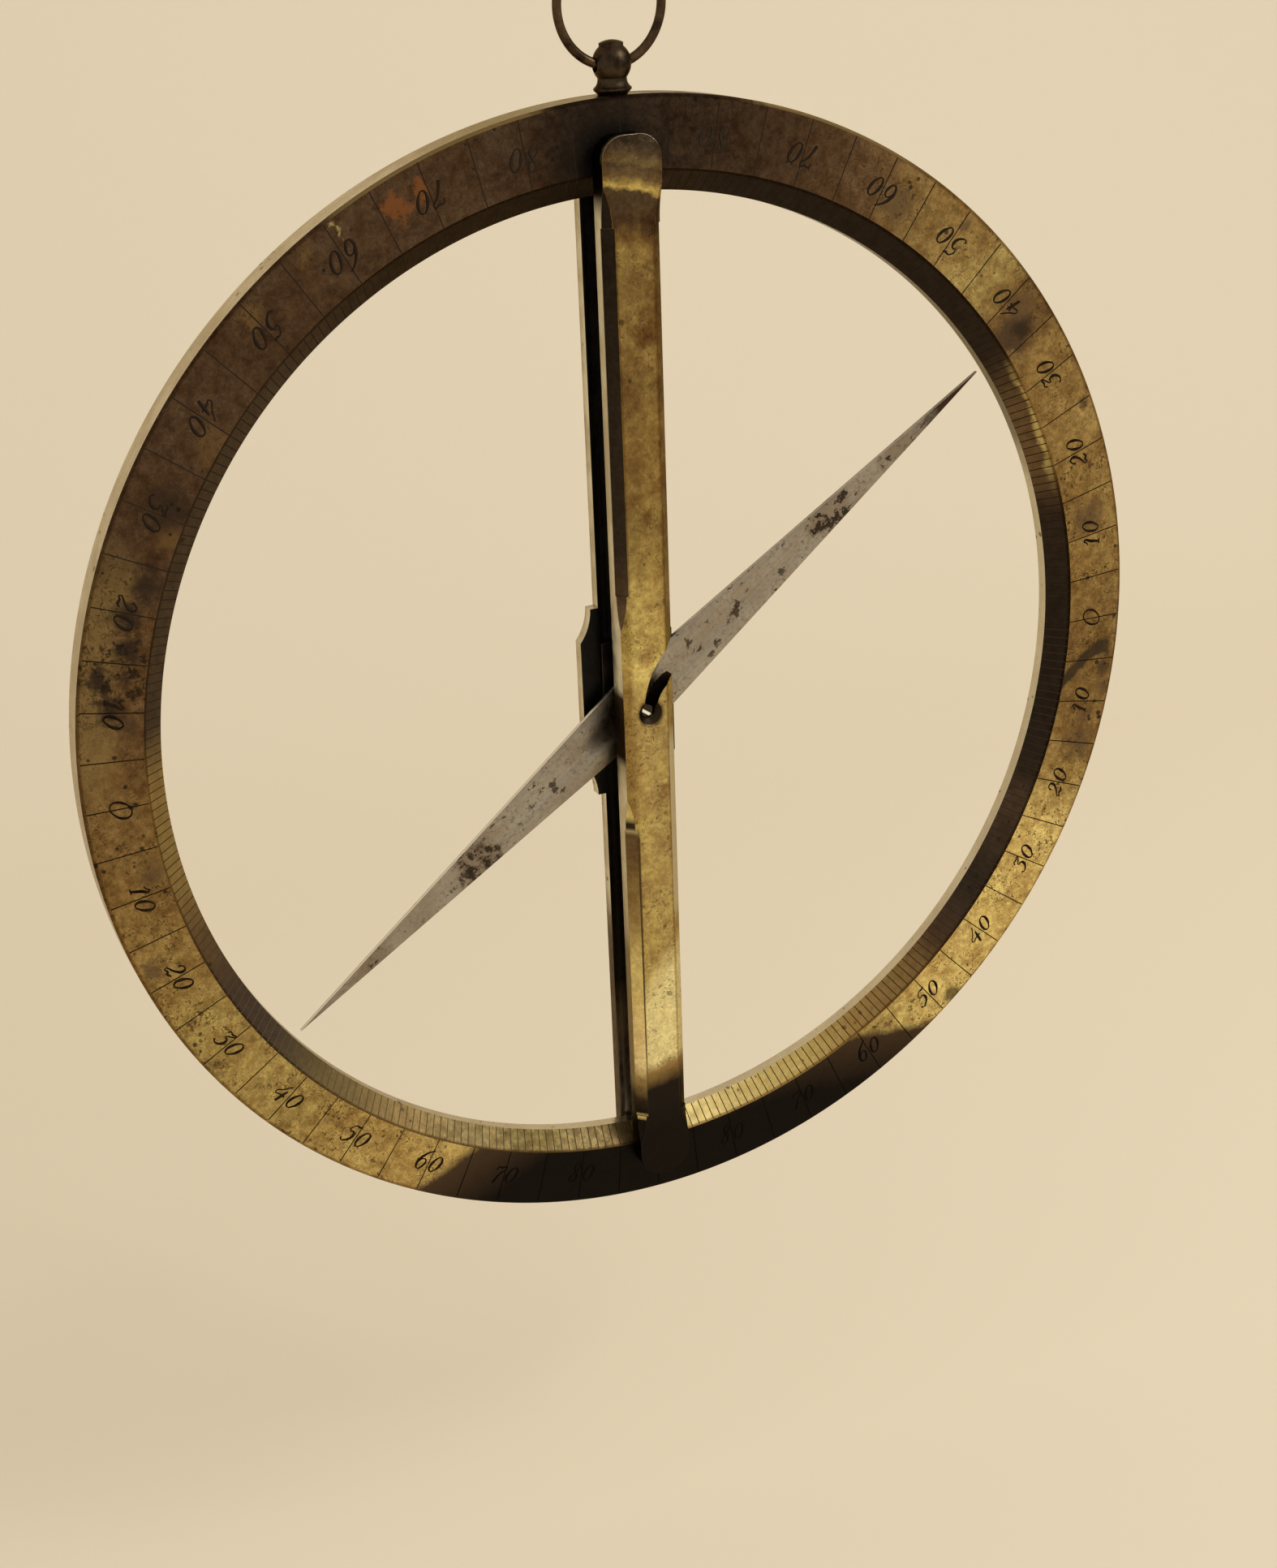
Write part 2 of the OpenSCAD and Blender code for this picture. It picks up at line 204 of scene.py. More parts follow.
line_radii = (on_bevel(LINE_FOOT)[0], on_bevel(LINE_HEAD)[0])
short = pick(limb, lambda co: co.y < BEVEL_FOOT_Y and on_multiple(co, 1)
             and on_radius(co, *line_radii))
bpy.ops.transform.translate(value=(0, LINE_DEPTH, 0))
long = pick(limb, lambda co: co.y < FACE_Y + TOUCH and on_multiple(co, 5)
            and on_radius(co, LINE_IN, LINE_OUT))
bpy.ops.transform.translate(value=(0, LINE_DEPTH, 0))
bpy.ops.object.mode_set(mode="OBJECT")
print("degree lines:", short // 2, "long lines:", long // 2, "triangles:", triangles(limb))

# %% [markdown]
# The ring shows four finishes: the flat face, the bevel, the polished rim with the bore and back, and the
# black filling of the lines. Each is a material slot, given to faces by their place. A furrow is found by
# its deep vertices. Smoothing by angle keeps the corners and furrows crisp.

# %% Sort the limb's faces
FACE, BEVEL, POLISHED, FILLING = range(4)
CLEAR_OF_BORE, RIM_BAND = 0.1 * MM, 0.05 * MM
CREASE = math.radians(12)
deep = set()
for v in limb.data.vertices:
    r = radius(v.co)
    if v.co.y < BEVEL_FOOT_Y + LINE_DEPTH / 2 and BORE_R + CLEAR_OF_BORE < r < RIM_R - EDGE:
        t = min(1, (r - BORE_R) / (BEVEL_R - BORE_R))
        if v.co.y - on_bevel(t)[1] > LINE_DEPTH / 2:
            deep.add(v.index)
for name in ("limb_face", "limb_bevel", "limb_polished", "line_filling"):
    limb.data.materials.append(bpy.data.materials.new(name))
for p in limb.data.polygons:
    r = radius(p.center)
    if deep.intersection(p.vertices):
        p.material_index = FILLING
    elif p.center.y > BEVEL_FOOT_Y - TOUCH or r > RIM_R - RIM_BAND:
        p.material_index = POLISHED
    else:
        p.material_index = BEVEL if r < BEVEL_R else FACE
only(limb)
bpy.ops.object.shade_smooth_by_angle(angle=CREASE)
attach(limb, "frame")
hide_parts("limb")
print("deep vertices:", len(deep))

# %% [markdown]
# The figures are cut freehand in the sloping round hand of old instrument makers: the strokes swell
# on the way down and are hair-thin across. Each digit is one or two strokes, noted upright, with the
# pressure of the graver at each point. A font would be quicker, but no font has this hand.

# %% Strokes of the digits
THIN, THICK = 0.11, 0.27
DIGITS = {  # strokes as (x, y, half-width) in mm, from the foot of the figure; "O" is the lone nought
    "0": [[(0.05, 1.45, THICK), (0.35, 0.35, 0.18), (0.85, 0.03, THIN), (1.40, 0.55, 0.16),
           (1.62, 1.50, THICK), (1.35, 2.60, 0.18), (0.80, 2.92, THIN), (0.28, 2.45, 0.17),
           (0.05, 1.45, THICK)]],
    "1": [[(0.20, 2.25, THIN), (0.55, 2.50, THIN), (0.85, 2.90, 0.16), (0.88, 1.60, THICK),
           (0.85, 0.15, 0.2)],
          [(0.42, 0.06, THIN), (0.85, 0.12, 0.13), (1.30, 0.06, THIN)]],
    "2": [[(0.30, 2.15, 0.2), (0.42, 2.70, THIN), (0.95, 2.90, 0.14), (1.45, 2.30, THICK),
           (1.05, 1.30, 0.18), (0.15, 0.12, THIN), (0.75, 0.30, 0.17), (1.25, 0.08, 0.2),
           (1.75, 0.45, THIN)]],
    "3": [[(0.22, 2.50, 0.14), (0.42, 2.92, THIN), (1.05, 2.80, 0.17), (1.62, 2.95, 0.13),
           (1.20, 2.30, 0.13), (0.78, 1.78, THIN), (1.35, 1.62, 0.16), (1.68, 0.95, THICK),
           (1.25, 0.10, 0.17), (0.55, 0.00, THIN), (0.15, 0.35, 0.19)]],
    "4": [[(1.45, 3.25, 0.12), (0.80, 2.10, THIN), (0.10, 0.98, THIN), (1.05, 1.05, 0.13),
           (2.05, 0.98, 0.15)],
          [(1.55, 2.10, 0.13), (1.50, 1.10, THICK), (1.45, -0.30, 0.22)]],
    "5": [[(1.95, 3.42, THIN), (1.45, 3.22, 0.2), (0.80, 3.28, 0.12), (0.60, 2.05, THIN),
           (1.15, 2.15, 0.14), (1.68, 1.35, THICK), (1.20, 0.25, 0.17), (0.50, 0.05, THIN),
           (0.15, 0.40, 0.2)]],
    "6": [[(1.75, 3.85, THIN), (0.90, 3.20, 0.17), (0.25, 1.95, THICK), (0.35, 0.60, 0.22),
           (0.95, 0.03, THIN), (1.55, 0.80, 0.22), (1.35, 1.85, 0.14), (0.80, 2.00, THIN),
           (0.35, 1.40, THIN)]],
    "7": [[(0.25, 2.35, 0.14), (0.45, 2.95, THIN), (1.05, 2.78, 0.18), (1.85, 3.00, THIN),
           (1.20, 1.60, 0.17), (0.85, -0.20, THICK)]],
    "8": [[(1.00, 3.70, THIN), (0.40, 3.05, 0.18), (0.85, 2.10, THICK), (1.45, 1.20, THICK),
           (1.20, 0.20, 0.16), (0.75, 0.03, THIN), (0.25, 0.70, 0.17), (0.80, 1.80, THIN),
           (1.50, 2.80, 0.16), (1.00, 3.70, THIN)]],
    "O": [[(0.05, 1.60, 0.22), (0.45, 0.42, 0.15), (1.30, 0.03, THIN), (2.20, 0.60, 0.14),
           (2.60, 1.65, 0.22), (2.15, 2.85, 0.15), (1.30, 3.25, THIN), (0.42, 2.75, 0.14),
           (0.05, 1.60, 0.22)]],
}
print("figures:", list(DIGITS))

# %% [markdown]
# Each stroke is a Bezier curve whose point radius is the pressure, and the slope of the hand is put in
# here. Turned into a mesh and pressed flat, it becomes a shallow inlay with a slight ridge, which stands
# for the black wax. A groove could be cut first, but the wax fills it to the brim.

# %% Draw the digits
SLANT, MID_HEIGHT = 0.30, 1.5
INLAY_HALF = 0.05 * MM


def cut_digit(figure):
    """Draw one digit lying in the ring's plane at the origin, as a flat mesh."""
    bpy.ops.object.select_all(action="DESELECT")
    bpy.ops.curve.primitive_bezier_curve_add()
    drawn = bpy.context.object
    drawn.data.splines.clear()
    drawn.data.dimensions = "3D"
    drawn.data.bevel_depth = MM
    drawn.data.bevel_resolution = 0
    drawn.data.resolution_u = 4
    drawn.data.use_fill_caps = True
    middle = sum(x for stroke in DIGITS[figure] for x, y, w in stroke) / sum(len(s) for s in DIGITS[figure])
    for stroke in DIGITS[figure]:
        line = drawn.data.splines.new("BEZIER")
        line.bezier_points.add(len(stroke) - 1)
        for point, (x, y, w) in zip(line.bezier_points, stroke):
            point.co = ((x - middle + SLANT * (y - MID_HEIGHT)) * MM, 0, y * MM)
            point.handle_left_type = point.handle_right_type = "AUTO"
            point.radius = w
    bpy.ops.object.convert(target="MESH")
    drawn = bpy.context.object
    drawn.scale = (1, INLAY_HALF / (THICK * MM), 1)
    settle(drawn)
    return drawn


patterns = {figure: cut_digit(figure) for figure in DIGITS}
print("faces of each digit:", {f: len(p.data.polygons) for f, p in patterns.items()})

# %% [markdown]
# The ring is numbered from nought on the level line to ninety under the bars, four times over, with
# the heads of the figures towards the middle. The long line passes between the two digits of each ten,
# and through the noughts, which are cut rounder. Each copy gets a mesh of its own and is turned to its
# place, and all of them are joined into one piece.

# %% Set the figures round the ring
BASE_R = 86.0 * MM
DIGIT_STEP = 1.28 * MM
INLAY_PROUD = 0.004 * MM
copies = []
for angle in range(0, 360, 10):
    value = angle % 180
    value = value if value <= 90 else 180 - value
    if value == 90:
        continue
    figures = str(value) if value else "O"
    for k, figure in enumerate(figures):
        along = (2 * k - len(figures) + 1) * DIGIT_STEP
        copy = patterns[figure].copy()
        copy.data = patterns[figure].data.copy()
        bpy.context.scene.collection.objects.link(copy)
        turn = Matrix.Rotation(-math.radians(angle + 90), 4, "Y")
        start = Matrix.Translation((along, FACE_Y - INLAY_PROUD, -BASE_R))
        copy.matrix_world = Matrix.Translation((0, 0, RING_Z)) @ turn @ start
        copies.append(copy)
for pattern in patterns.values():
    bpy.data.objects.remove(pattern)
only(copies[0])
for copy in copies:
    copy.select_set(True)
bpy.ops.object.join()
numerals = bpy.context.object
numerals.name = "limb_numerals"
settle(numerals)
numerals.data.materials.clear()
numerals.data.materials.append(bpy.data.materials["line_filling"])
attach(numerals, "frame")
print("digits:", len(copies), "triangles:", triangles(numerals))

# %% [markdown]
# A file leaves no knife edge. The bars, the pivot plate and the needle come from CAD with sharp corners,
# so each is duplicated, its triangles are merged back into whole faces, and a narrow Bevel modifier
# breaks the edges, as a maker does with a smooth file. The new edge faces get a slot of their own,
# because worn edges shine where the flats are dull.

# %% Break the sharp edges
CAD_MERGE = 0.002 * MM
FLAT, SHARP, SMOOTH = (math.radians(a) for a in (0.5, 25, 35))


def break_edges(name, body, width, edge_finish):
    """A copy of a CAD piece with its sharp edges broken; the edge faces get a finish of their own."""
    only(frame["nodes"][name])
    bpy.ops.object.duplicate()
    piece = bpy.context.object
    piece.name = name + "_filed"
    bpy.ops.object.parent_clear(type="CLEAR_KEEP_TRANSFORM")
    bpy.ops.object.mode_set(mode="EDIT")
    bpy.ops.mesh.select_all(action="SELECT")
    bpy.ops.mesh.remove_doubles(threshold=CAD_MERGE)
    bpy.ops.mesh.dissolve_limited(angle_limit=FLAT)
    bpy.ops.object.mode_set(mode="OBJECT")
    piece.data.materials.clear()
    for finish in (name + "_finish", edge_finish):
        piece.data.materials.append(bpy.data.materials.get(finish) or bpy.data.materials.new(finish))
    edges = piece.modifiers.new("broken_edges", "BEVEL")
    edges.width, edges.segments, edges.material = width, 2, 1
    edges.limit_method, edges.angle_limit = "ANGLE", SHARP
    bpy.ops.object.modifier_apply(modifier=edges.name)
    bpy.ops.object.shade_smooth_by_angle(angle=SMOOTH)
    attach(piece, body)
    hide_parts(name)
    edge_faces = sum(p.material_index == 1 for p in piece.data.polygons)
    print(piece.name, "triangles:", triangles(piece), "edge faces:", edge_faces)


break_edges("front_bar", "frame", 0.13 * MM, "bar_edges")
break_edges("rear_bar", "frame", 0.1 * MM, "bar_edges")
break_edges("pivot_plate", "frame", 0.08 * MM, "plate_edges")
break_edges("needle_blade", "needle", 0.06 * MM, "needle_blade_finish")

# %% [markdown]
# Old metal is never one colour. A finish is a tree of shader nodes that colours each place in its own
# way. Image textures could do it too, but nodes stay sharp at any distance. `add` makes a node and links
# it, and every pattern reads Object coordinates, so it stays on the metal when the piece moves.

# %% Node helpers
def add(tree, kind, inputs=None, **settings):
    """Add a shader node; inputs are values or sockets to link."""
    made = tree.nodes.new("ShaderNode" + kind)
    for name, value in settings.items():
        setattr(made, name, value)
    for key, value in (inputs or {}).items():
        if isinstance(value, bpy.types.NodeSocket):
            tree.links.new(value, made.inputs[key])
        else:
            made.inputs[key].default_value = value
    return made


def object_place(tree):
    return add(tree, "TexCoord").outputs["Object"]


def axes_of(place):
    return add(place.id_data, "SeparateXYZ", {0: place}).outputs


def noise(place, scale, detail, roughness=0.5, distortion=0.0):
    return add(place.id_data, "TexNoise", {"Vector": place, "Scale": scale, "Detail": detail,
                                           "Roughness": roughness, "Distortion": distortion}).outputs[0]


# %% [markdown]
# A mask is a value from 0 to 1 that says where a colour goes. `band` stretches a value between two
# limits, `both` multiplies masks, and `near` marks a stretch. The nodes could be wired one by one, but
# with these helpers a finish reads like a list of steps. A socket knows its own tree, so they needn't
# be told which one to work in.

# %% Mask helpers
def band(value, low, high, start=0.0, end=1.0):
    """A value from low to high becomes start to end, and stays there beyond."""
    return add(value.id_data, "MapRange", {"Value": value, "From Min": low, "From Max": high,
                                           "To Min": start, "To Max": end}).outputs[0]


def maths(operation, first, second=0.0):
    tree = next(v.id_data for v in (first, second) if isinstance(v, bpy.types.NodeSocket))
    return add(tree, "Math", {0: first, 1: second}, operation=operation).outputs[0]


def both(*masks):
    """The product of several masks."""
    product = masks[0]
    for mask in masks[1:]:
        product = maths("MULTIPLY", product, mask)
    return product


def total(*values):
    """The sum of several values."""
    summed = values[0]
    for value in values[1:]:
        summed = maths("ADD", summed, value)
    return summed


def apart(value, middle):
    """How far a value lies from a middle, on either side."""
    return maths("ABSOLUTE", maths("SUBTRACT", value, middle))


def near(value, middle, inside, outside):
    """1 where a value lies near a middle, falling to 0 outside."""
    return band(apart(value, middle), inside, outside, 1.0, 0.0)


def past(value, start):
    """How far a coordinate lies past a start, in millimetres."""
    return maths("DIVIDE", maths("SUBTRACT", value, start), MM)


# %% [markdown]
# A shader node group makes the masks that all the finishes share: broad blotches, mottling, fine grain,
# freckles and dark pits. The group only hands out masks and a height. What they mean in colour is
# decided in each material, because brass and steel age differently.

# %% Shared masks of wear
def group(name, inputs, outputs):
    """An empty shader group with float inputs and outputs."""
    tree = bpy.data.node_groups.new(name, "ShaderNodeTree")
    for socket, value in inputs.items():
        made = tree.interface.new_socket(socket, in_out="INPUT", socket_type="NodeSocketFloat")
        made.default_value = value
    for socket in outputs:
        tree.interface.new_socket(socket, in_out="OUTPUT", socket_type="NodeSocketFloat")
    return tree, tree.nodes.new("NodeGroupInput").outputs, tree.nodes.new("NodeGroupOutput").inputs


def hand_out(tree, out, **masks):
    """Link masks to the outputs of a group that have their names."""
    for name, mask in masks.items():
        tree.links.new(mask, out[name])
    print("group", tree.name, "hands out", list(masks))


BLOTCH_SCALE = 120
tree, given, out = group("metal_wear", {"Blotch Scale": BLOTCH_SCALE, "Pit Scale": 560, "Pit Size": 0.3},
                         ("Blotch", "Mottle", "Grain", "Freckles", "Pits", "Height"))
wear_group = tree
place = object_place(tree)
grain = band(noise(place, 1500, 5, 0.75), 0.38, 0.62)
mottle = band(noise(place, 520, 6, 0.7), 0.40, 0.62)
blotch = band(noise(place, given["Blotch Scale"], 5, 0.62), 0.40, 0.60)
flocks = band(noise(place, 210, 3, 0.6), 0.36, 0.56)
freckles = both(band(noise(place, 1500, 4, 0.65, 0.9), 0.545, 0.60), flocks)
cells = add(tree, "TexVoronoi", {"Vector": place, "Scale": given["Pit Scale"]}).outputs["Distance"]
pit_size = both(given["Pit Size"], band(noise(place, 150, 3, 0.6), 0.48, 0.66))
pits = band(maths("SUBTRACT", pit_size, cells), 0.0, 0.1)
height = maths("SUBTRACT", both(grain, 0.4), total(pits, both(freckles, 0.5)))
hand_out(tree, out, Blotch=blotch, Mottle=mottle, Grain=grain, Freckles=freckles, Pits=pits, Height=height)

# %% [markdown]
# Much of the tarnish follows the ring: where it was rubbed the brass stayed bright, and where it was left
# alone it browned; the painted reflections lie in zones round it too. A second group turns a place into its
# position round the ring in degrees, its distance from the middle, and its place across and up in
# millimetres. The degrees waver a little, so that a stain put where it belongs has no ruled edge.

# %% Position round the ring
tree, given, out = group("round_the_ring", {"Waver": 3}, ("Turn", "Radius", "Across", "Up", "Wave"))
ring_group = tree
place = object_place(tree)
axes = axes_of(place)
across = maths("DIVIDE", axes["X"], MM)
up = past(axes["Z"], RING_Z)
wave = both(maths("SUBTRACT", noise(place, 230, 5, 0.65), 0.5), given["Waver"])
turn = both(maths("ARCTAN2", up, across), 180 / math.pi)
turn = maths("MODULO", total(turn, 360.0, wave), 360.0)
reach = maths("SQRT", total(both(up, up), both(across, across)))
hand_out(tree, out, Turn=turn, Radius=reach, Across=across, Up=up, Wave=wave)

# %% [markdown]
# The brass has a palette of named tones, from freshly rubbed to burnt black, so that the tables below
# read like notes on the old surface. `lay` puts a colour over what is there, as a glaze, `weather`
# multiplies it by tints where the masks of wear say, and a `ramp` runs through named tones.

# %% Palette of the brass
BRASS = {
    "pale": (0.88, 0.79, 0.44), "bright": (0.66, 0.55, 0.23), "golden": (0.48, 0.375, 0.15),
    "amber": (0.48, 0.345, 0.112), "olive": (0.39, 0.31, 0.12), "dull": (0.29, 0.205, 0.078),
    "tan": (0.215, 0.145, 0.057), "rust": (0.20, 0.077, 0.025), "ochre": (0.15, 0.088, 0.034),
    "brown": (0.14, 0.088, 0.043), "moss": (0.14, 0.102, 0.043), "umber": (0.078, 0.049, 0.029),
    "fern": (0.076, 0.055, 0.018), "slate": (0.074, 0.053, 0.037), "sooty": (0.036, 0.025, 0.017),
    "pitch": (0.027, 0.0195, 0.0145), "black": (0.012, 0.010, 0.0085),
}
FRECKLE = (0.09, 0.054, 0.028)


def rgba(colour):
    """A colour for a node: a socket as it is, or the numbers or the brass tone that are given."""
    return colour if isinstance(colour, bpy.types.NodeSocket) else (*BRASS.get(colour, colour), 1)


def lay(tone, colour, mask, amount=1.0, how="MIX"):
    """Lay a colour over a tone where a mask says, by an amount."""
    return add(mask.id_data, "Mix", {0: both(mask, amount), 6: rgba(tone), 7: rgba(colour)},
               data_type="RGBA", blend_type=how).outputs[2]


def weather(tone, wear, **tints):
    """Multiply a tone by a (tint, amount) where each named mask of wear says."""
    for mask, (tint, amount) in tints.items():
        tone = lay(tone, tint, wear[mask], amount, "MULTIPLY")
    return tone


def ramp(value, stops):
    """A ramp of named brass tones, through (value, tone) stops."""
    low, high = stops[0][0], stops[-1][0]
    made = add(value.id_data, "ValToRGB", {0: band(value, low, high)})
    strip = made.color_ramp.elements
    while len(strip) < len(stops):
        strip.new(0.5)
    for element, (position, tone) in zip(strip, stops):
        element.position = (position - low) / (high - low)
        element.color = rgba(tone)
    return made.outputs[0]


print("tones of brass:", list(BRASS))

# %% [markdown]
# All finishes begin alike: a metal shader whose roughness and relief follow the masks of wear. Each
# could be built from nothing, but a shared start keeps the pieces looking like one instrument. `paint`
# gives the shader its colour, and `ring_place` says where on the ring a place lies.

# %% Start of a finish
GLINT = (0.6, 0.55, 0.48, 1)
RELIEF = 0.05 * MM


def finish_base(name, roughness, bump, metallic=1.0, blotch_scale=BLOTCH_SCALE):
    """Start a metal material: its tree, its shader and the shared masks."""
    material = bpy.data.materials.get(name) or bpy.data.materials.new(name)
    material.use_nodes = True
    tree = material.node_tree
    shader = tree.nodes["Principled BSDF"]
    shader.inputs["Metallic"].default_value = metallic
    shader.inputs["Specular Tint"].default_value = GLINT
    made = tree.nodes.new("ShaderNodeGroup")
    made.node_tree = wear_group
    made.inputs["Blotch Scale"].default_value = blotch_scale
    wear = made.outputs
    relief = add(tree, "Bump", {"Height": wear["Height"], "Strength": bump, "Distance": RELIEF})
    tree.links.new(relief.outputs[0], shader.inputs["Normal"])
    tree.links.new(band(wear["Mottle"], 0, 1, *roughness), shader.inputs["Roughness"])
    return tree, shader, wear


def paint(shader, tone):
    shader.id_data.links.new(tone, shader.inputs["Base Color"])


def ring_place(tree, waver):
    made = tree.nodes.new("ShaderNodeGroup")
    made.node_tree = ring_group
    made.inputs["Waver"].default_value = waver
    return made.outputs


# %% [markdown]
# The face is satin brass under a patchy brown tone, partly tarnish and partly painted reflection. The ramp
# goes round from the right-hand nought through the top: golden at the right, deep brown over the top and
# the upper left, golden again from the left down. Grain and mottling break it up, as they do where lacquer
# has worn thin.

# %% Zones of the face
face_zones = [
    (0, "tan"), (8, "dull"), (14, "dull"), (33, "dull"), (36, "brown"), (40, "tan"), (44, "olive"),
    (50, "dull"), (56, "tan"), (61, "brown"), (70, "umber"), (82, "sooty"), (95, "sooty"), (106, "umber"),
    (157, "umber"), (162, "brown"), (172, "brown"), (184, "tan"), (197, "dull"), (208, "olive"),
    (222, "olive"), (232, "golden"), (290, "golden"), (301, "olive"), (311, "bright"), (334, "bright"),
    (342, "dull"), (350, "tan"), (360, "tan"),
]
tree, shader, wear = finish_base("limb_face", (0.34, 0.5), 0.5)
place, where = object_place(tree), ring_place(tree, 9)
turn, reach, side_on, wave = where["Turn"], where["Radius"], where["Across"], where["Wave"]
# Zones round the face: tarnish and painted reflection together.
tone = ramp(turn, face_zones)
tone = weather(tone, wear, Blotch=((0.72, 0.63, 0.56), 0.7), Mottle=((0.57, 0.48, 0.42), 0.9),
               Grain=((2.15, 2.08, 1.85), 0.6))
outer_part = band(total(reach, both(wave, 0.5)), 83.5, 86)
tone = lay(tone, "dull", both(near(turn, 167, 9, 14), outer_part), 0.4)
print("zones round the face:", len(face_zones))

# %% [markdown]
# Single stains lie over the zones: an orange one and bright chips at the upper left, black corrosion at the
# left, dark patches and a curved smear at the right. One noise could strew them at random, but each has its
# own place on the old face, so they are listed. A `patch` is one soft mark with a wandering outline, used
# for the stains here and for a painted shadow further on. Freckles and pits come last.

# %% Stains on the face
def patch(place, middle, size, edge, waver):
    """A soft patch, for stains and for one painted shadow: 1 within its size of a point, fading over its
    edge, with the sizes in millimetres.
    """
    far = add(place.id_data, "VectorMath", {0: place, 1: middle}, operation="DISTANCE").outputs["Value"]
    rough = maths("SUBTRACT", noise(place, 420, 5, 0.7), 0.5)
    far = total(far, both(rough, waver * MM))
    return band(far, size * MM, size * MM + edge * MM, 1.0, 0.0)


def on_ring(angle, reach):
    """A point of the front face, from degrees and millimetres."""
    a = math.radians(angle)
    return (reach * MM * math.cos(a), FACE_Y, RING_Z + reach * MM * math.sin(a))


face_stains = [  # degrees, then radius, size, edge and waver in mm, and the tone
    (113.4, 85.4, 1.2, 1.1, 10, "rust"), (111, 86.4, 0.6, 1.0, 10, "rust"),
    (119.2, 87.6, 0.1, 0.7, 8, "golden"), (123, 88.2, 0.5, 1.4, 8, "ochre"),
    (130, 87.4, 0.6, 1.6, 8, "ochre"), (141.5, 81.2, 0.6, 2.4, 9, "ochre"),
    (152, 80.9, 0.6, 2.4, 9, "ochre"), (149, 83, 1.2, 3.0, 9, "sooty"), (157, 82, 0.8, 2.6, 9, "sooty"),
    (36.8, 82.3, 2.1, 1.4, 5, "umber"), (36.6, 84.6, 1.2, 1.4, 5, "sooty"),
    (38.5, 86, 1.0, 2.4, 8, "brown"), (57.5, 84, 1.2, 2.6, 9, "brown"), (345, 86, 1.5, 2.5, 9, "brown"),
    (12, 84, 1.2, 3.0, 9, "brown"), (303.6, 82.7, 0.3, 0.8, 6, "brown"), (312, 88.9, 0.8, 1.6, 6, "moss"),
    (24.8, 88.2, 0.3, 0.8, 6, "umber"), (49.5, 87.4, 0.3, 0.9, 6, "brown"),
    (354, 88, 0.5, 1.5, 4, "umber"), (352, 88.2, 0.3, 1.8, 4, "brown"), (348, 86, 0.4, 1.8, 6, "brown"),
    (160.4, 84.4, 0.5, 2.4, 4, "sooty"), (164, 83.2, 0.4, 2.4, 5, "sooty"),
    (169.8, 84.8, 0.5, 2.4, 4, "sooty"), (167, 86.8, 0.3, 2.2, 6, "sooty"),
    (171.5, 82, 0.2, 2.0, 6, "umber"), (160.5, 83.6, 0.3, 1.8, 8, "sooty"),
    (163.6, 83, 0.3, 1.8, 8, "sooty"), (169.6, 84.8, 0.4, 1.8, 8, "sooty"),
    (166.8, 83, 0.2, 1.4, 8, "sooty"), (166.6, 87.4, 0.3, 1.6, 9, "sooty"),
    (198, 87.6, 0.8, 1.6, 9, "brown"), (188, 82, 0.8, 2.0, 9, "brown"), (211, 88, 0.5, 1.5, 8, "brown"),
]
for angle, r, size, edge, waver, name in face_stains:
    tone = lay(tone, name, patch(place, on_ring(angle, r), size, edge, waver), 0.85)
smear_curve = maths("POWER", maths("SUBTRACT", reach, 87.0), 2.0)
smear_turn = total(ring_place(tree, 2.5)["Turn"], both(smear_curve, 0.085))
smear = both(near(smear_turn, 356.3, 0.7, 1.3), band(reach, 89.2, 88.2))
tone = lay(tone, (0.045, 0.033, 0.021), smear, 0.92)
crust = band(noise(place, 620, 5, 0.72), 0.50, 0.57)
tone = lay(tone, "black", both(crust, patch(place, on_ring(166, 84), 3, 8, 14)), 0.85)
tone = lay(tone, (0.055, 0.031, 0.016), wear["Freckles"], 0.8)
tone = lay(tone, "black", wear["Pits"], 0.8)
print("stains on the face:", len(face_stains))

# %% [markdown]
# The outer lip is dark, with a painted highlight along it at both sides of the pendant, and a painted
# shadow lies on the face round the bar's upper end. The foot of the ring is almost black, up to a slanting
# line at each side: a painted reflection of something dark below.

# %% Lip and foot of the face
# Painted shadow round the bar's upper end.
tone = lay(tone, "black", patch(place, on_ring(91.5, 82), 3, 8, 3))
tone = lay(tone, (0.5, 0.42, 0.34), band(reach, 89.35, 89.6), 0.8, "MULTIPLY")
# Painted highlight along the lip at both sides of the pendant.
lip_highlight = total(near(turn, 67, 8, 11), near(turn, 108, 9, 13))
tone = lay(tone, "tan", both(lip_highlight, band(reach, 89.45, 89.6)), 0.8)
# Painted reflection: the foot of the ring goes dark past a slanting line at each side.
slant = maths("SUBTRACT", both(maths("ABSOLUTE", side_on), 0.268), both(side_on, 0.189))
slant = total(slant, band(side_on, -5, 5, -4.7, 4.7))
foot = total(where["Up"], slant, both(wave, 0.3))
tone = lay(tone, "umber", band(foot, -61, -62.8))
foot = total(foot, band(side_on, 14, 30, 0, -2))
tone = lay(tone, "black", band(foot, -62.2, -73.5))
paint(shader, tone)
print("face finish nodes:", len(tree.nodes))

# %% [markdown]
# The bevel is cut at an angle, and its zones are partly tarnish and partly painted reflection: dark over
# the top and the right, with a golden streak by the right-hand twenties that is a painted glint, and golden
# at the foot, where it faces up, as a painted reflection of the bright room.

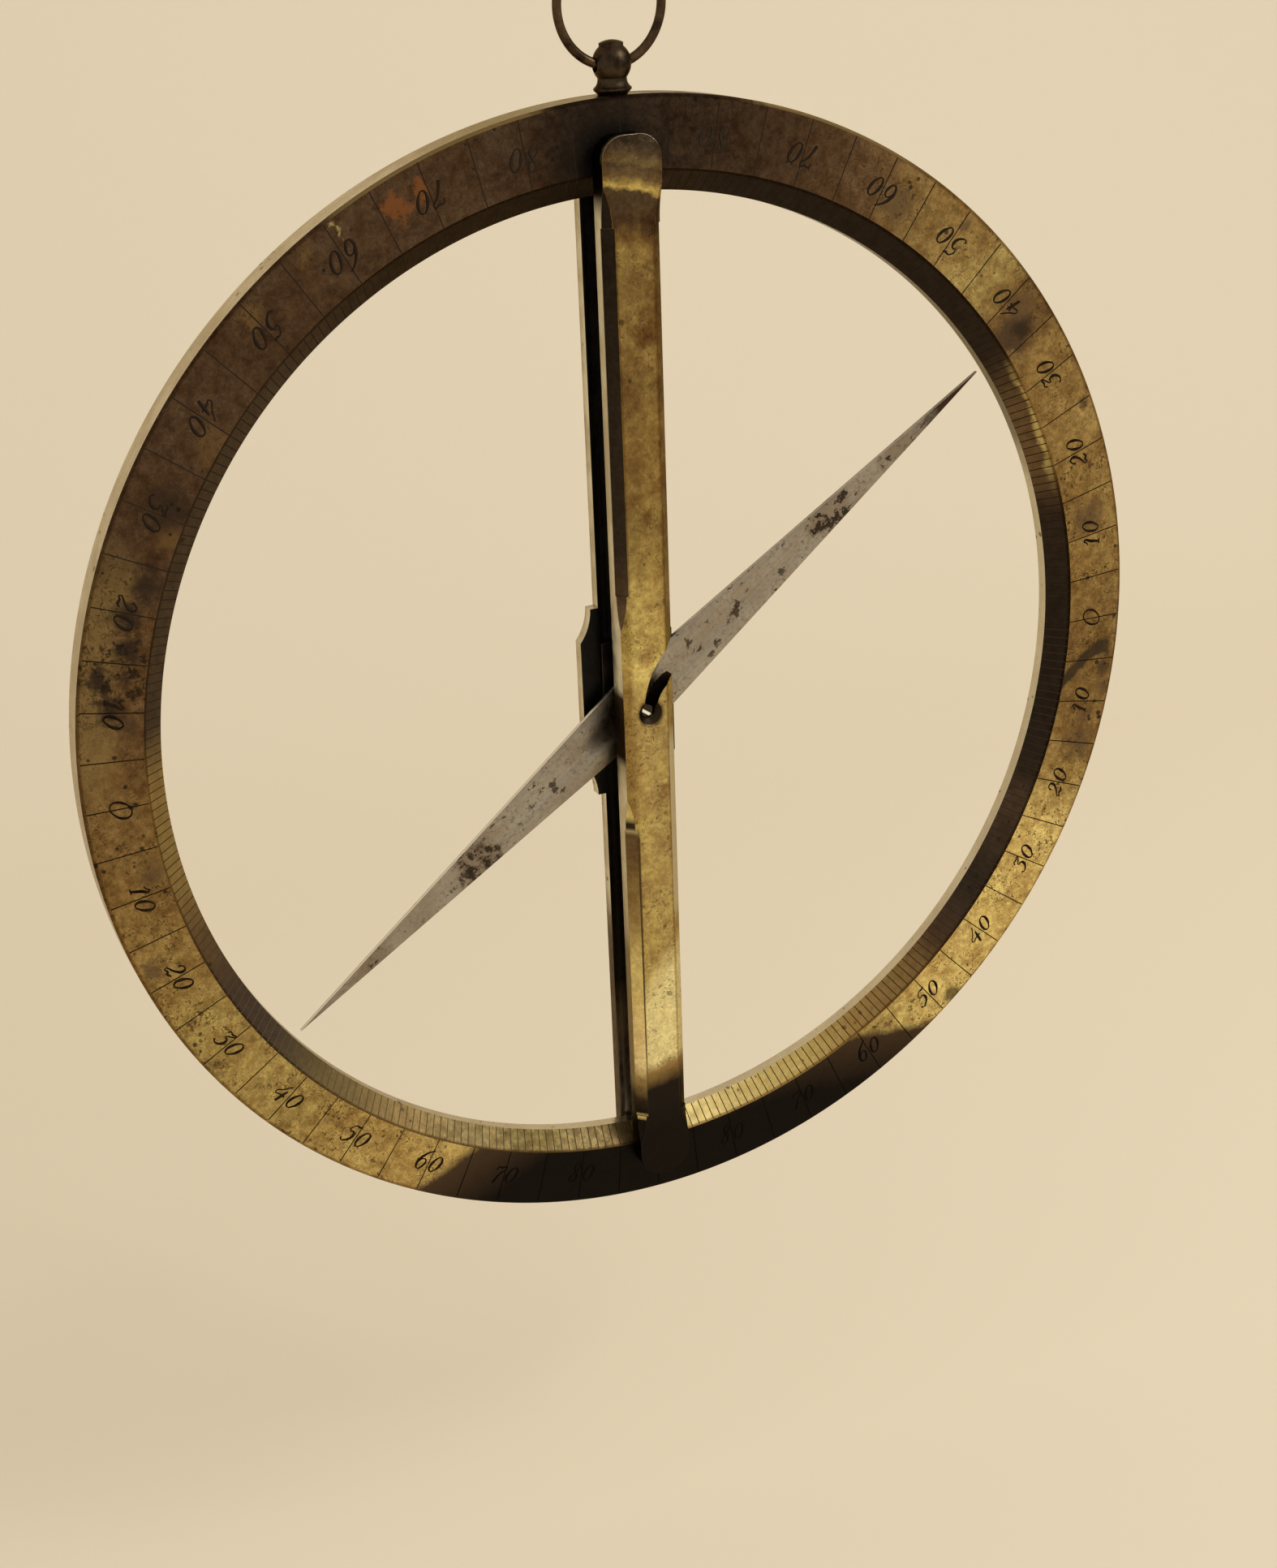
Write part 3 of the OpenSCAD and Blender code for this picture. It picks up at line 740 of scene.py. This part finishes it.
# %% Finish of the bevel
bevel_zones = [
    (0, "pitch"), (14, "sooty"), (20, "brown"), (28, "brown"), (36, "sooty"), (48, "pitch"),
    (76, "pitch"), (84, "sooty"), (116, "sooty"), (134, "slate"), (172, "slate"), (178, "dull"),
    (190, "dull"), (198, "brown"), (206, "slate"), (214, "slate"), (221, "moss"), (234, "tan"),
    (243, "moss"), (254, "fern"), (262, "moss"), (268, "tan"), (276, "golden"), (293, "amber"),
    (303, "dull"), (311, "tan"), (316, "umber"), (325, "sooty"), (337, "umber"), (340, "sooty"),
    (348, "pitch"), (360, "pitch"),
]
tree, shader, wear = finish_base("limb_bevel", (0.32, 0.46), 0.4)
where = ring_place(tree, 5)
turn, reach = where["Turn"], where["Radius"]
# Zones round the bevel: tarnish and painted reflection together.
tone = ramp(turn, bevel_zones)
# Painted amber glint low on the right.
tone = lay(tone, (1.04, 0.92, 0.8), near(turn, 308, 7, 14), 1.0, "MULTIPLY")
# Painted golden glint by the right-hand twenties.
upper_part = band(total(reach, both(where["Wave"], 0.6)), 78.9, 79.4)
tone = lay(tone, "golden", both(near(turn, 26, 4, 9), upper_part))
tone = weather(tone, wear, Mottle=((0.66, 0.6, 0.54), 0.6), Grain=((1.3, 1.28, 1.22), 0.5))
# Painted shadow line along the edge of the face.
tone = lay(tone, (0.45, 0.36, 0.28), band(reach, 79.6, 79.78), 0.9, "MULTIPLY")
tone = lay(tone, "black", wear["Pits"], 0.6)
paint(shader, tone)
print("zones round the bevel:", len(bevel_zones))

# %% [markdown]
# The rim and bore are left bright from the lathe, with fine turning marks, but browned near the
# pendant; the back is plain clouded brass. One material covers them, told apart by radius and depth.

# %% Finish of the turned sides and the back
tree, shader, wear = finish_base("limb_polished", (0.2, 0.34), 0.25)
place, where = object_place(tree), ring_place(tree, 8)
turn = where["Turn"]
marks = add(tree, "Mapping", {"Vector": place, "Scale": (60, 9000, 60)}).outputs[0]
marks = band(noise(marks, 1.0, 3), 0.4, 0.62)
tone = lay((0.93, 0.87, 0.72), (0.76, 0.68, 0.52), marks)
tone = lay(tone, (0.42, 0.33, 0.19), wear["Blotch"], 0.35)
tone = lay(tone, "umber", near(turn, 68, 20, 27), 0.95)
tone = lay(tone, "olive", near(turn, 97, 6, 14), 0.8)
inside = band(where["Radius"], 79, 78)
tone = lay(tone, "sooty", both(inside, near(turn, 44, 18, 26)))
tone = lay(tone, (0.5, 0.45, 0.33), inside, 0.5)
back = lay("bright", "dull", wear["Blotch"])
back = weather(back, wear, Mottle=((0.66, 0.59, 0.5), 0.7))
back = lay(back, FRECKLE, wear["Freckles"], 0.5)
back = lay(back, "brown", near(turn, 90, 22, 42), 0.7)
behind = band(axes_of(place)["Y"], BACK_Y - 0.2 * MM, BACK_Y - 0.1 * MM)
tone = lay(tone, back, behind)
tone = lay(tone, (0.08, 0.05, 0.025), wear["Pits"], 0.7)
paint(shader, tone)
print("turned sides: nodes", len(tree.nodes))

# %% [markdown]
# The filling of the lines is black wax, rubbed thin in places: browner over the top, blackest at the
# foot, and on the bevel so thin that brass shines through it, most of all at the lower left.

# %% Filling of the lines
tree, shader, wear = finish_base("line_filling", (0.7, 0.9), 0.3, metallic=0.0)
shader.inputs["Specular IOR Level"].default_value = 0.06
where = ring_place(tree, 5)
turn = where["Turn"]
on_face = band(axes_of(object_place(tree))["Y"], FACE_Y, FACE_Y + 0.02 * MM)
on_slope = band(where["Radius"], 80.1, 79.9)
tone = lay((0.006, 0.0035, 0.002), (0.028, 0.016, 0.008), wear["Mottle"], 0.9)
tone = lay(tone, (0.021, 0.015, 0.0105), near(turn, 104, 52, 66), 0.8)
tone = lay(tone, (0.004, 0.003, 0.002), near(turn, 273, 26, 32))
tone = lay(tone, (0.043, 0.029, 0.019), both(on_face, near(turn, 110, 42, 56)), 0.85)
tone = lay(tone, (0.033, 0.024, 0.016), near(turn, 89, 9, 14), 0.8)
tone = lay(tone, (0.055, 0.038, 0.021), on_slope, 0.8)
tone = lay(tone, (0.024, 0.017, 0.012), both(on_slope, near(turn, 80, 92, 100)), 0.9)
tone = lay(tone, (0.13, 0.095, 0.05), both(on_slope, near(turn, 232, 14, 40)), 0.8)
paint(shader, tone)
print("limb finishes:", [m.name for m in limb.data.materials])

# %% [markdown]
# The front bar was filed, scraped and lacquered by its maker. Its face is olive brass with brown clouds,
# and near the top it carries slanting light and dark bands. Towards the foot it is bright with a painted
# highlight, then black with a painted reflection of something dark below. A dark line runs beside the lower
# left chamfer.

# %% Finish of the front bar's face
bar_low, bar_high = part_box("front_bar")
BAR_FACE_Y = bar_low[1]
BAR_HALF, CHAMFER = bar_high[0] / MM, 1.6
bar_zones = [
    (-90, "golden"), (3, "golden"), (8, "bright"), (10.5, "golden"), (20, "golden"), (25, "dull"),
    (30, "tan"), (36, "dull"), (46, "dull"), (50, "tan"), (55, "dull"), (60, "dull"), (65, "tan"),
    (70, "dull"), (72, "tan"), (73.4, "umber"), (77.7, "umber"), (77.95, "amber"), (78.6, "dull"),
    (79.3, "brown"), (80.8, "umber"), (81.3, "moss"), (81.8, "brown"), (82.6, "umber"), (84.2, "sooty"),
    (85.5, "sooty"),
]
bar_stains = [  # across and up from the pivot, and size, in mm
    (-1.4, 33.5, 0.7), (0.6, 31, 0.6), (0.8, 58, 1.1), (-0.5, 9, 0.3), (2, -14, 0.4), (0.2, 85, 0.3)]
tree, shader, wear = finish_base("front_bar_finish", (0.3, 0.48), 0.45)
place, where = object_place(tree), ring_place(tree, 3)
side_on, up, wave = where["Across"], where["Up"], where["Wave"]
from_middle, from_pivot = maths("ABSOLUTE", side_on), maths("ABSOLUTE", up)
tone = ramp(total(up, both(side_on, 0.24), both(wave, 1.4)), bar_zones)
cloudy = lay((1.13, 1.18, 1.02), (0.64, 0.53, 0.47), wear["Blotch"])
tone = lay(tone, cloudy, band(up, 5, 35, 0.5, 0.95), 1.0, "MULTIPLY")
# Painted highlight across the lower face, where the brass shows bright.
painted_highlight = band(total(maths("SUBTRACT", up, both(side_on, 1.2)), wave), -43, -49)
tone = lay(tone, (0.75, 0.67, 0.36), painted_highlight, 0.9)
tone = weather(tone, wear, Mottle=((0.64, 0.56, 0.50), band(painted_highlight, 0, 1, 0.85, 0.4)),
               Grain=((1.8, 1.8, 1.62), 0.5))
tone = lay(tone, FRECKLE, wear["Freckles"], 0.65)
for x, z, size in bar_stains:
    stain = patch(place, (x * MM, BAR_FACE_Y, RING_Z + z * MM), size, 1.6, 7)
    tone = lay(tone, (0.6, 0.48, 0.46), stain, 0.85, "MULTIPLY")
tone = lay(tone, "black", wear["Pits"], 0.55)
brink = both(near(from_middle, BAR_HALF - CHAMFER, 0.1, 0.35), band(from_pivot, 75, 73),
             maths("MAXIMUM", band(from_pivot, 18.5, 20), band(side_on, 0, 1)))
tone = lay(tone, (0.6, 0.5, 0.4), brink, 0.8, "MULTIPLY")
narrowing = total(side_on, band(up, -20, -60, 0.0, 0.2))
dark_line = both(near(narrowing, CHAMFER - BAR_HALF, 0.28, 0.48), band(up, -19, -21),
                 band(up, -66, -60))
tone = lay(tone, "sooty", dark_line, 0.8)
rubbed = both(band(side_on, -2.4, -3.4), band(from_pivot, 19, 16))
tone = lay(tone, (0.62, 0.53, 0.44), rubbed, 0.9, "MULTIPLY")
# Painted reflection of something dark below: the foot goes brown, then black, past a slanting line.
dark_reflection_level = maths("SUBTRACT", total(up, both(wave, 1.1)), both(side_on, 0.15))
tone = lay(tone, (0.26, 0.15, 0.045), band(dark_reflection_level, -62.3, -64.2), 0.9)
tone = lay(tone, (0.021, 0.016, 0.012), band(dark_reflection_level, -64.2, -67.6))
tone = lay(tone, "black", band(dark_reflection_level, -71, -76), 0.7)
print("front bar face at y (mm):", round(BAR_FACE_Y / MM, 2), "zones:", len(bar_zones))

# %% [markdown]
# One material covers the whole bar, so its chamfers, its flat sides and the walls of the loading slot are
# told apart by how deep they lie below the face and how far from the middle line. The left chamfer is by
# turns darker and brighter than the face, partly as painted reflection, with a painted highlight line where
# each stop begins. The sides, the end wall and the slot walls carry painted reflection, highlight and shade
# as well.

# %% Chamfers, sides and slot of the front bar
slope_zones = [
    (-90, "black"), (-73.3, "black"), (-73.2, "bright"), (-72.8, "bright"), (-72.7, "black"),
    (-70, "sooty"), (-66, "dull"), (-62, "pale"), (-50, "bright"), (-45, "bright"), (-40, "golden"),
    (-35, "dull"), (-29, "tan"), (-23.5, "brown"), (-19.8, "brown"), (-19.5, "pale"), (-19.2, "pale"),
    (-19, "sooty"), (-17.8, "sooty"), (-17.4, "bright"), (-13, "golden"), (8, "dull"), (13, "brown"),
    (19.1, "umber"), (19.2, "golden"), (19.5, "golden"), (19.6, "umber"), (26, "sooty"), (90, "sooty"),
]
depth = past(axes_of(place)["Y"], BAR_FACE_Y)
below = band(depth, 0.02, 0.06)
# The left chamfer's dark and bright stretches are partly painted reflection, with painted highlight lines
# at the stops.
slope = lay(ramp(up, slope_zones), "black", band(up, 30, 66), 0.55)
slope = lay(slope, (0.66, 0.44, 0.2), both(wear["Blotch"], near(up, -57, 6, 10)), 0.5)
slope = weather(slope, wear, Mottle=((0.74, 0.65, 0.56), 0.6), Grain=((1.7, 1.68, 1.55), 0.5))
tone = lay(tone, slope, both(below, band(side_on, 0, -1)))
right = both(below, band(side_on, 2.9, 3.0))
tone = lay(tone, (0.74, 0.66, 0.56), both(right, band(up, -8, 2)), 0.8, "MULTIPLY")
tone = lay(tone, (0.62, 0.55, 0.36), both(right, near(up, -20, 14, 17)), 0.7)
# The flat sides: pale brass, partly a painted reflection of the bright room; the black towards both ends is
# a painted reflection of the ring's dark face, and the dark stretch by the pivot a painted reflection of
# the needle.
flank = lay((0.78, 0.72, 0.56), (0.5, 0.42, 0.27), wear["Blotch"], 0.7)
flank = lay(flank, "tan", band(up, -32, -42), 0.85)
flank = lay(flank, "black", band(apart(up, 4), 70, 73.5))
flank = lay(flank, "sooty", near(up, -2, 5, 6.5))
tone = lay(tone, flank, both(below, band(from_middle, BAR_HALF - 0.05, BAR_HALF - 0.02)))
# Painted shade on the end wall, with a painted highlight along its front lip.
end_wall = both(below, band(up, 81.5, 82))
tone = lay(tone, "black", end_wall)
end_lip = both(end_wall, band(maths("SUBTRACT", depth, wave), 0.9, 0.4))
tone = lay(tone, "golden", end_lip, 0.8)
# Painted shade on the walls of the loading slot.
slot_wall = both(below, band(from_pivot, 13.4, 13.2), band(side_on, -2.9, -2.8),
                 band(maths("SUBTRACT", depth, side_on), -2.9, -2.8))
tone = lay(tone, (0.026, 0.02, 0.015), slot_wall)
tone = lay(tone, (0.03, 0.02, 0.012), patch(place, (0, BAR_FACE_Y, RING_Z), 1.9, 0.6, 1.6), 0.9)
paint(shader, tone)
print("zones down the chamfer:", len(slope_zones))

# %% [markdown]
# The rear bar shows its inner face and one bright edge to the camera. The inner face is painted near black
# as painted shade, lying in the shadow between the bars, and the bright edge is pale brass, partly a
# painted reflection of the bright room. Its back is plain brass, and its lower part is darker. It is a flat
# plate, so the depth from its front is enough to tell these apart.

# %% Finish of the rear bar
rear_low, rear_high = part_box("rear_bar")
tree, shader, wear = finish_base("rear_bar_finish", (0.28, 0.46), 0.4)
where = ring_place(tree, 8)
depth = past(axes_of(object_place(tree))["Y"], rear_low[1])
# The pale base shows on the edge: brass, partly a painted reflection of the bright room.
tone = lay((0.80, 0.74, 0.58), (0.42, 0.34, 0.20), wear["Blotch"], 0.6)
low_down = band(total(where["Up"], where["Wave"]), -32, -42)
tone = lay(tone, "umber", low_down, 0.9)
back = lay("golden", "tan", wear["Blotch"])
back = weather(back, wear, Mottle=((0.66, 0.6, 0.52), 0.7))
back = lay(back, FRECKLE, wear["Freckles"], 0.4)
thick = (rear_high[1] - rear_low[1]) / MM
tone = lay(tone, back, band(depth, thick - 0.06, thick - 0.02))
# Painted shade on the inner face between the bars, lighter low down.
dark = lay((0.013, 0.0122, 0.0112), (0.2, 0.16, 0.12), band(where["Up"], -50, -68))
tone = lay(tone, dark, band(depth, 0.06, 0.02))
tone = lay(tone, "black", wear["Pits"], 0.6)
paint(shader, tone)
print("rear bar thickness (mm):", round(thick, 2))

# %% [markdown]
# The needle is thin sheet steel, ground along its length and never polished on the flats. Rust starts where
# it has been touched: one cluster half-way up the right arm, one on the left arm and some single specks,
# and the right-hand point is brown all over. The narrow edges are painted bright, as polished steel with a
# painted highlight that is strongest on the left arm, and a painted shadow of the front bar darkens the
# left arm by the axle. Marks are placed by their distance along the needle and across it, so they turn with
# it.

# %% Finish of the needle
NEEDLE_DIP = math.radians(35.8)
rust_clusters = [  # along and across the needle, size (mm), and where the crust of noise starts and is full
    (43.5, 0, 4, 0.5, 0.54), (-36.5, -1, 3.5, 0.44, 0.54), (-60, 0, 3, 0.6, 0.66), (58, 0, 3, 0.56, 0.6)]
rust_specks = [  # along, across and size; a size below nought shows only where the outline wanders far
    (31, -0.9, 0.35), (21.3, -0.2, 0.5), (22.6, 0.3, 0.3), (15.6, -2.2, 0.45), (14.2, -2.9, 0.4),
    (12.5, 1.2, -0.1), (27.5, 1.4, 0.2), (-17, 0.6, -0.1), (-19, -0.6, 0.2), (-27, -0.8, 0.25)]
blade_low, blade_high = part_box("needle_blade")
tree, shader, wear = finish_base("needle_blade_finish", (0.27, 0.4), 0.35)
moved = add(tree, "VectorMath", {0: object_place(tree), 1: (0, 0, RING_Z)}, operation="SUBTRACT").outputs[0]
turned = add(tree, "VectorRotate", {"Vector": moved, "Axis": (0, 1, 0), "Angle": NEEDLE_DIP}).outputs[0]
axes = axes_of(turned)
along, athwart = (maths("DIVIDE", axes[k], MM) for k in ("X", "Z"))
streaks = add(tree, "Mapping", {"Vector": turned, "Scale": (60, 1, 2600)}).outputs[0]
streaks = band(noise(streaks, 1.0, 3), 0.35, 0.65)
stretched = add(tree, "Mapping", {"Vector": turned, "Scale": (0.55, 1, 1)}).outputs[0]
peppered = band(noise(stretched, 900, 4, 0.65), 0.63, 0.66)
crust = noise(turned, 780, 4, 0.65)
wander = both(maths("SUBTRACT", noise(turned, 430, 5, 0.7), 0.5), 16)


def from_mark(middle, off):
    """How far a place is from a mark on the needle, along it and across it together."""
    return total(apart(along, middle), apart(athwart, off))


tone = lay((0.385, 0.355, 0.305), (0.335, 0.30, 0.25), streaks)
tone = lay(tone, (0.22, 0.165, 0.11), wear["Blotch"], 0.35)
tone = weather(tone, wear, Grain=((0.8, 0.76, 0.7), 0.5))
tone = lay(tone, (0.10, 0.062, 0.036), wear["Freckles"], 0.4)
tone = lay(tone, (0.05, 0.03, 0.02), peppered, 0.85)
for middle, off, size, thin, full in rust_clusters:
    zone = band(total(from_mark(middle, off), wander), size, size + 2.5, 1.0, 0.0)
    tone = lay(tone, (0.19, 0.135, 0.088), zone, 0.5)
    tone = lay(tone, (0.022, 0.015, 0.011), both(zone, band(crust, thin, full)), 0.9)
for middle, off, size in rust_specks:
    far = total(from_mark(middle, off), both(wander, 0.45))
    tone = lay(tone, (0.045, 0.031, 0.022), band(far, size, size + 0.4, 1.0, 0.0), 0.85)
brown_point = band(total(along, both(wander, 0.7)), 61, 66)
tone = lay(tone, (0.035, 0.017, 0.009), brown_point, 0.95)
tone = lay(tone, (0.16, 0.115, 0.075), band(along, -64, -71), 0.45)
# Painted shadow of the front bar on the left arm by the axle.
bar_shadow = both(band(along, -11, -4.5), band(along, 1, -1))
tone = lay(tone, (0.09, 0.074, 0.06), bar_shadow, 0.9)
thick = (blade_high[1] - blade_low[1]) / MM
depth = past(axes["Y"], blade_low[1])
# Edges painted bright: polished steel and a painted highlight, strongest on the left arm.
polished_lit_edges = both(band(depth, 0.05, 0.07), band(depth, thick - 0.05, thick - 0.07))
tone = lay(tone, (0.9, 0.86, 0.78), both(polished_lit_edges, band(along, 20, -20, 0.3, 1.0)))
paint(shader, tone)
print("needle thickness (mm):", round(thick, 2), "rust marks:", len(rust_clusters) + len(rust_specks))

# %% [markdown]
# The arbor is hardened steel; its end in the front bar is dark, with a bright chord that is a painted
# highlight. The broken edges of the bars are worn brass in flecks; round the upper end they are bright with
# wear and with painted highlight, at the foot they are dark as painted reflection, and beside the dark line
# they are dark too.

# %% Finishes of the arbor and the bars' edges
arbor_front_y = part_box("needle_arbor")[0][1]
tree, shader, wear = finish_base("arbor_steel", (0.14, 0.26), 0.2)
where = ring_place(tree, 0.5)
end_face = band(axes_of(object_place(tree))["Y"], arbor_front_y + 0.05 * MM, arbor_front_y + 0.02 * MM)
# Painted highlight: a bright chord across the arbor's end.
chord_highlight = near(total(where["Up"], both(where["Across"], 0.7)), -0.35, 0.22, 0.34)
tone = lay((0.30, 0.27, 0.23), (0.18, 0.155, 0.125), wear["Mottle"])
tone = lay(tone, (0.04, 0.033, 0.027), end_face)
tone = lay(tone, (0.95, 0.92, 0.84), both(end_face, chord_highlight))
paint(shader, tone)

tree, shader, wear = finish_base("bar_edges", (0.24, 0.4), 0.2, blotch_scale=260)
where = ring_place(tree, 6)
up = where["Up"]
tone = lay("dull", "umber", wear["Blotch"])
# Bright upper end: wear and a painted highlight.
worn_and_lit_end = both(band(up, 82, 83.5), maths("SUBTRACT", 1.0, wear["Blotch"]))
tone = lay(tone, (0.9, 0.8, 0.6), worn_and_lit_end)
# Painted reflection: the edges go dark at the foot.
tone = lay(tone, "sooty", band(up, -68, -72))
beside_chamfer = both(near(where["Across"], CHAMFER - BAR_HALF, 0.3, 0.5), band(up, -19, -21))
tone = lay(tone, "sooty", beside_chamfer, 0.9)
paint(shader, tone)
print("arbor's front end at y (mm):", round(arbor_front_y / MM, 2))

# %% [markdown]
# The other parts share one plain recipe with two tones each. The pivot plate is almost black, and the
# pendant and the bow are dark from handling. A CAD node that was not modelled over again takes its
# finish in its own material slot.

# %% Finishes of the small parts
def plain_finish(name, light, dark, roughness, bump, blotch_scale=BLOTCH_SCALE):
    tree, shader, wear = finish_base(name, roughness, bump, blotch_scale=blotch_scale)
    tone = lay(light, dark, wear["Blotch"])
    tone = weather(tone, wear, Mottle=((0.7, 0.66, 0.6), 0.6), Grain=((1.35, 1.32, 1.26), 0.5))
    paint(shader, lay(tone, "black", wear["Pits"], 0.8))
    return bpy.data.materials[name]


SATIN, FINE = (0.3, 0.45), 300
plain_finish("pivot_plate_finish", (0.034, 0.025, 0.017), "black", (0.35, 0.5), 0.3)
plain_finish("plate_edges", "umber", "sooty", SATIN, 0.2)
finishes = {
    "bar_screws": plain_finish("screw_finish", "olive", "tan", SATIN, 0.3),
    "steady_pins": plain_finish("pin_finish", "olive", "tan", SATIN, 0.3),
    "needle_collar": plain_finish("collar_finish", "dull", "brown", SATIN, 0.3),
    "pendant": plain_finish("pendant_finish", (0.062, 0.042, 0.026), (0.02, 0.013, 0.009), (0.24, 0.4),
                            0.5, FINE),
    "bow": plain_finish("bow_finish", (0.088, 0.056, 0.031), (0.03, 0.019, 0.011), (0.24, 0.38), 0.5, FINE),
    "needle_arbor": bpy.data.materials["arbor_steel"],
}
for name, material in finishes.items():
    node = frame["nodes"][name]
    node.data.materials.clear()
    node.data.materials.append(material)
print("dressed CAD nodes:", sorted(finishes))

# %% [markdown]
# The stage is a plain cream sweep: a floor that curves up into a wall, as a photographer's paper roll
# does. A flat floor alone would be quicker, but its far edge would cross the picture as a line.

# %% Stage
FLOOR_SIZE, FLOOR_Y, FLOOR_Z = 4, -1.1, -0.27
WALL_HEIGHT, SWEEP_R = 2.2, 0.6
WALL_FROM_Y = 0.8
bpy.ops.object.select_all(action="DESELECT")
bpy.ops.mesh.primitive_plane_add(size=FLOOR_SIZE, location=(0, FLOOR_Y, FLOOR_Z))
sweep = bpy.context.object
sweep.name = "sweep"
settle(sweep)
bpy.ops.object.mode_set(mode="EDIT")
pick(sweep, lambda co: co.y > WALL_FROM_Y)
bpy.ops.mesh.extrude_edges_move(TRANSFORM_OT_translate={"value": (0, 0, WALL_HEIGHT)})
pick(sweep, lambda co: co.y > WALL_FROM_Y and co.z < 0)
bpy.ops.mesh.bevel(offset=SWEEP_R, segments=16, affect="EDGES")
bpy.ops.object.mode_set(mode="OBJECT")
bpy.ops.object.shade_smooth()
paper = bpy.data.materials.new("cream_paper")
paper.use_nodes = True
shader = paper.node_tree.nodes["Principled BSDF"]
shader.inputs["Base Color"].default_value = (0.80, 0.71, 0.55, 1)
shader.inputs["Roughness"].default_value = 0.85
sweep.data.materials.append(paper)
print("stage:", sweep.name, "faces:", len(sweep.data.polygons))

# %% [markdown]
# One large soft lamp stands to the right and above, like a window, and the cream world fills the
# shadows. A picture of a room could light it too, but one lamp is easier to follow. The Standard view
# shows the colours as they were mixed.

# %% Light
world = bpy.data.worlds.new("studio")
bpy.context.scene.world = world
world.use_nodes = True
sky = world.node_tree.nodes["Background"].inputs
sky["Color"].default_value = (1.0, 0.95, 0.86, 1)
sky["Strength"].default_value = 0.72

lamp = bpy.data.objects.new("window", bpy.data.lights.new("window", "AREA"))
bpy.context.scene.collection.objects.link(lamp)
lamp.location = (0.8, -0.7, 0.7)
lamp_aim = Vector((0, 0, -0.1))
lamp.rotation_euler = (lamp_aim - lamp.location).to_track_quat("-Z", "Y").to_euler()
lamp.data.size = 0.7
lamp.data.energy = 8
bpy.context.scene.view_settings.view_transform = "Standard"
print("lamp:", lamp.name, "watts:", lamp.data.energy)
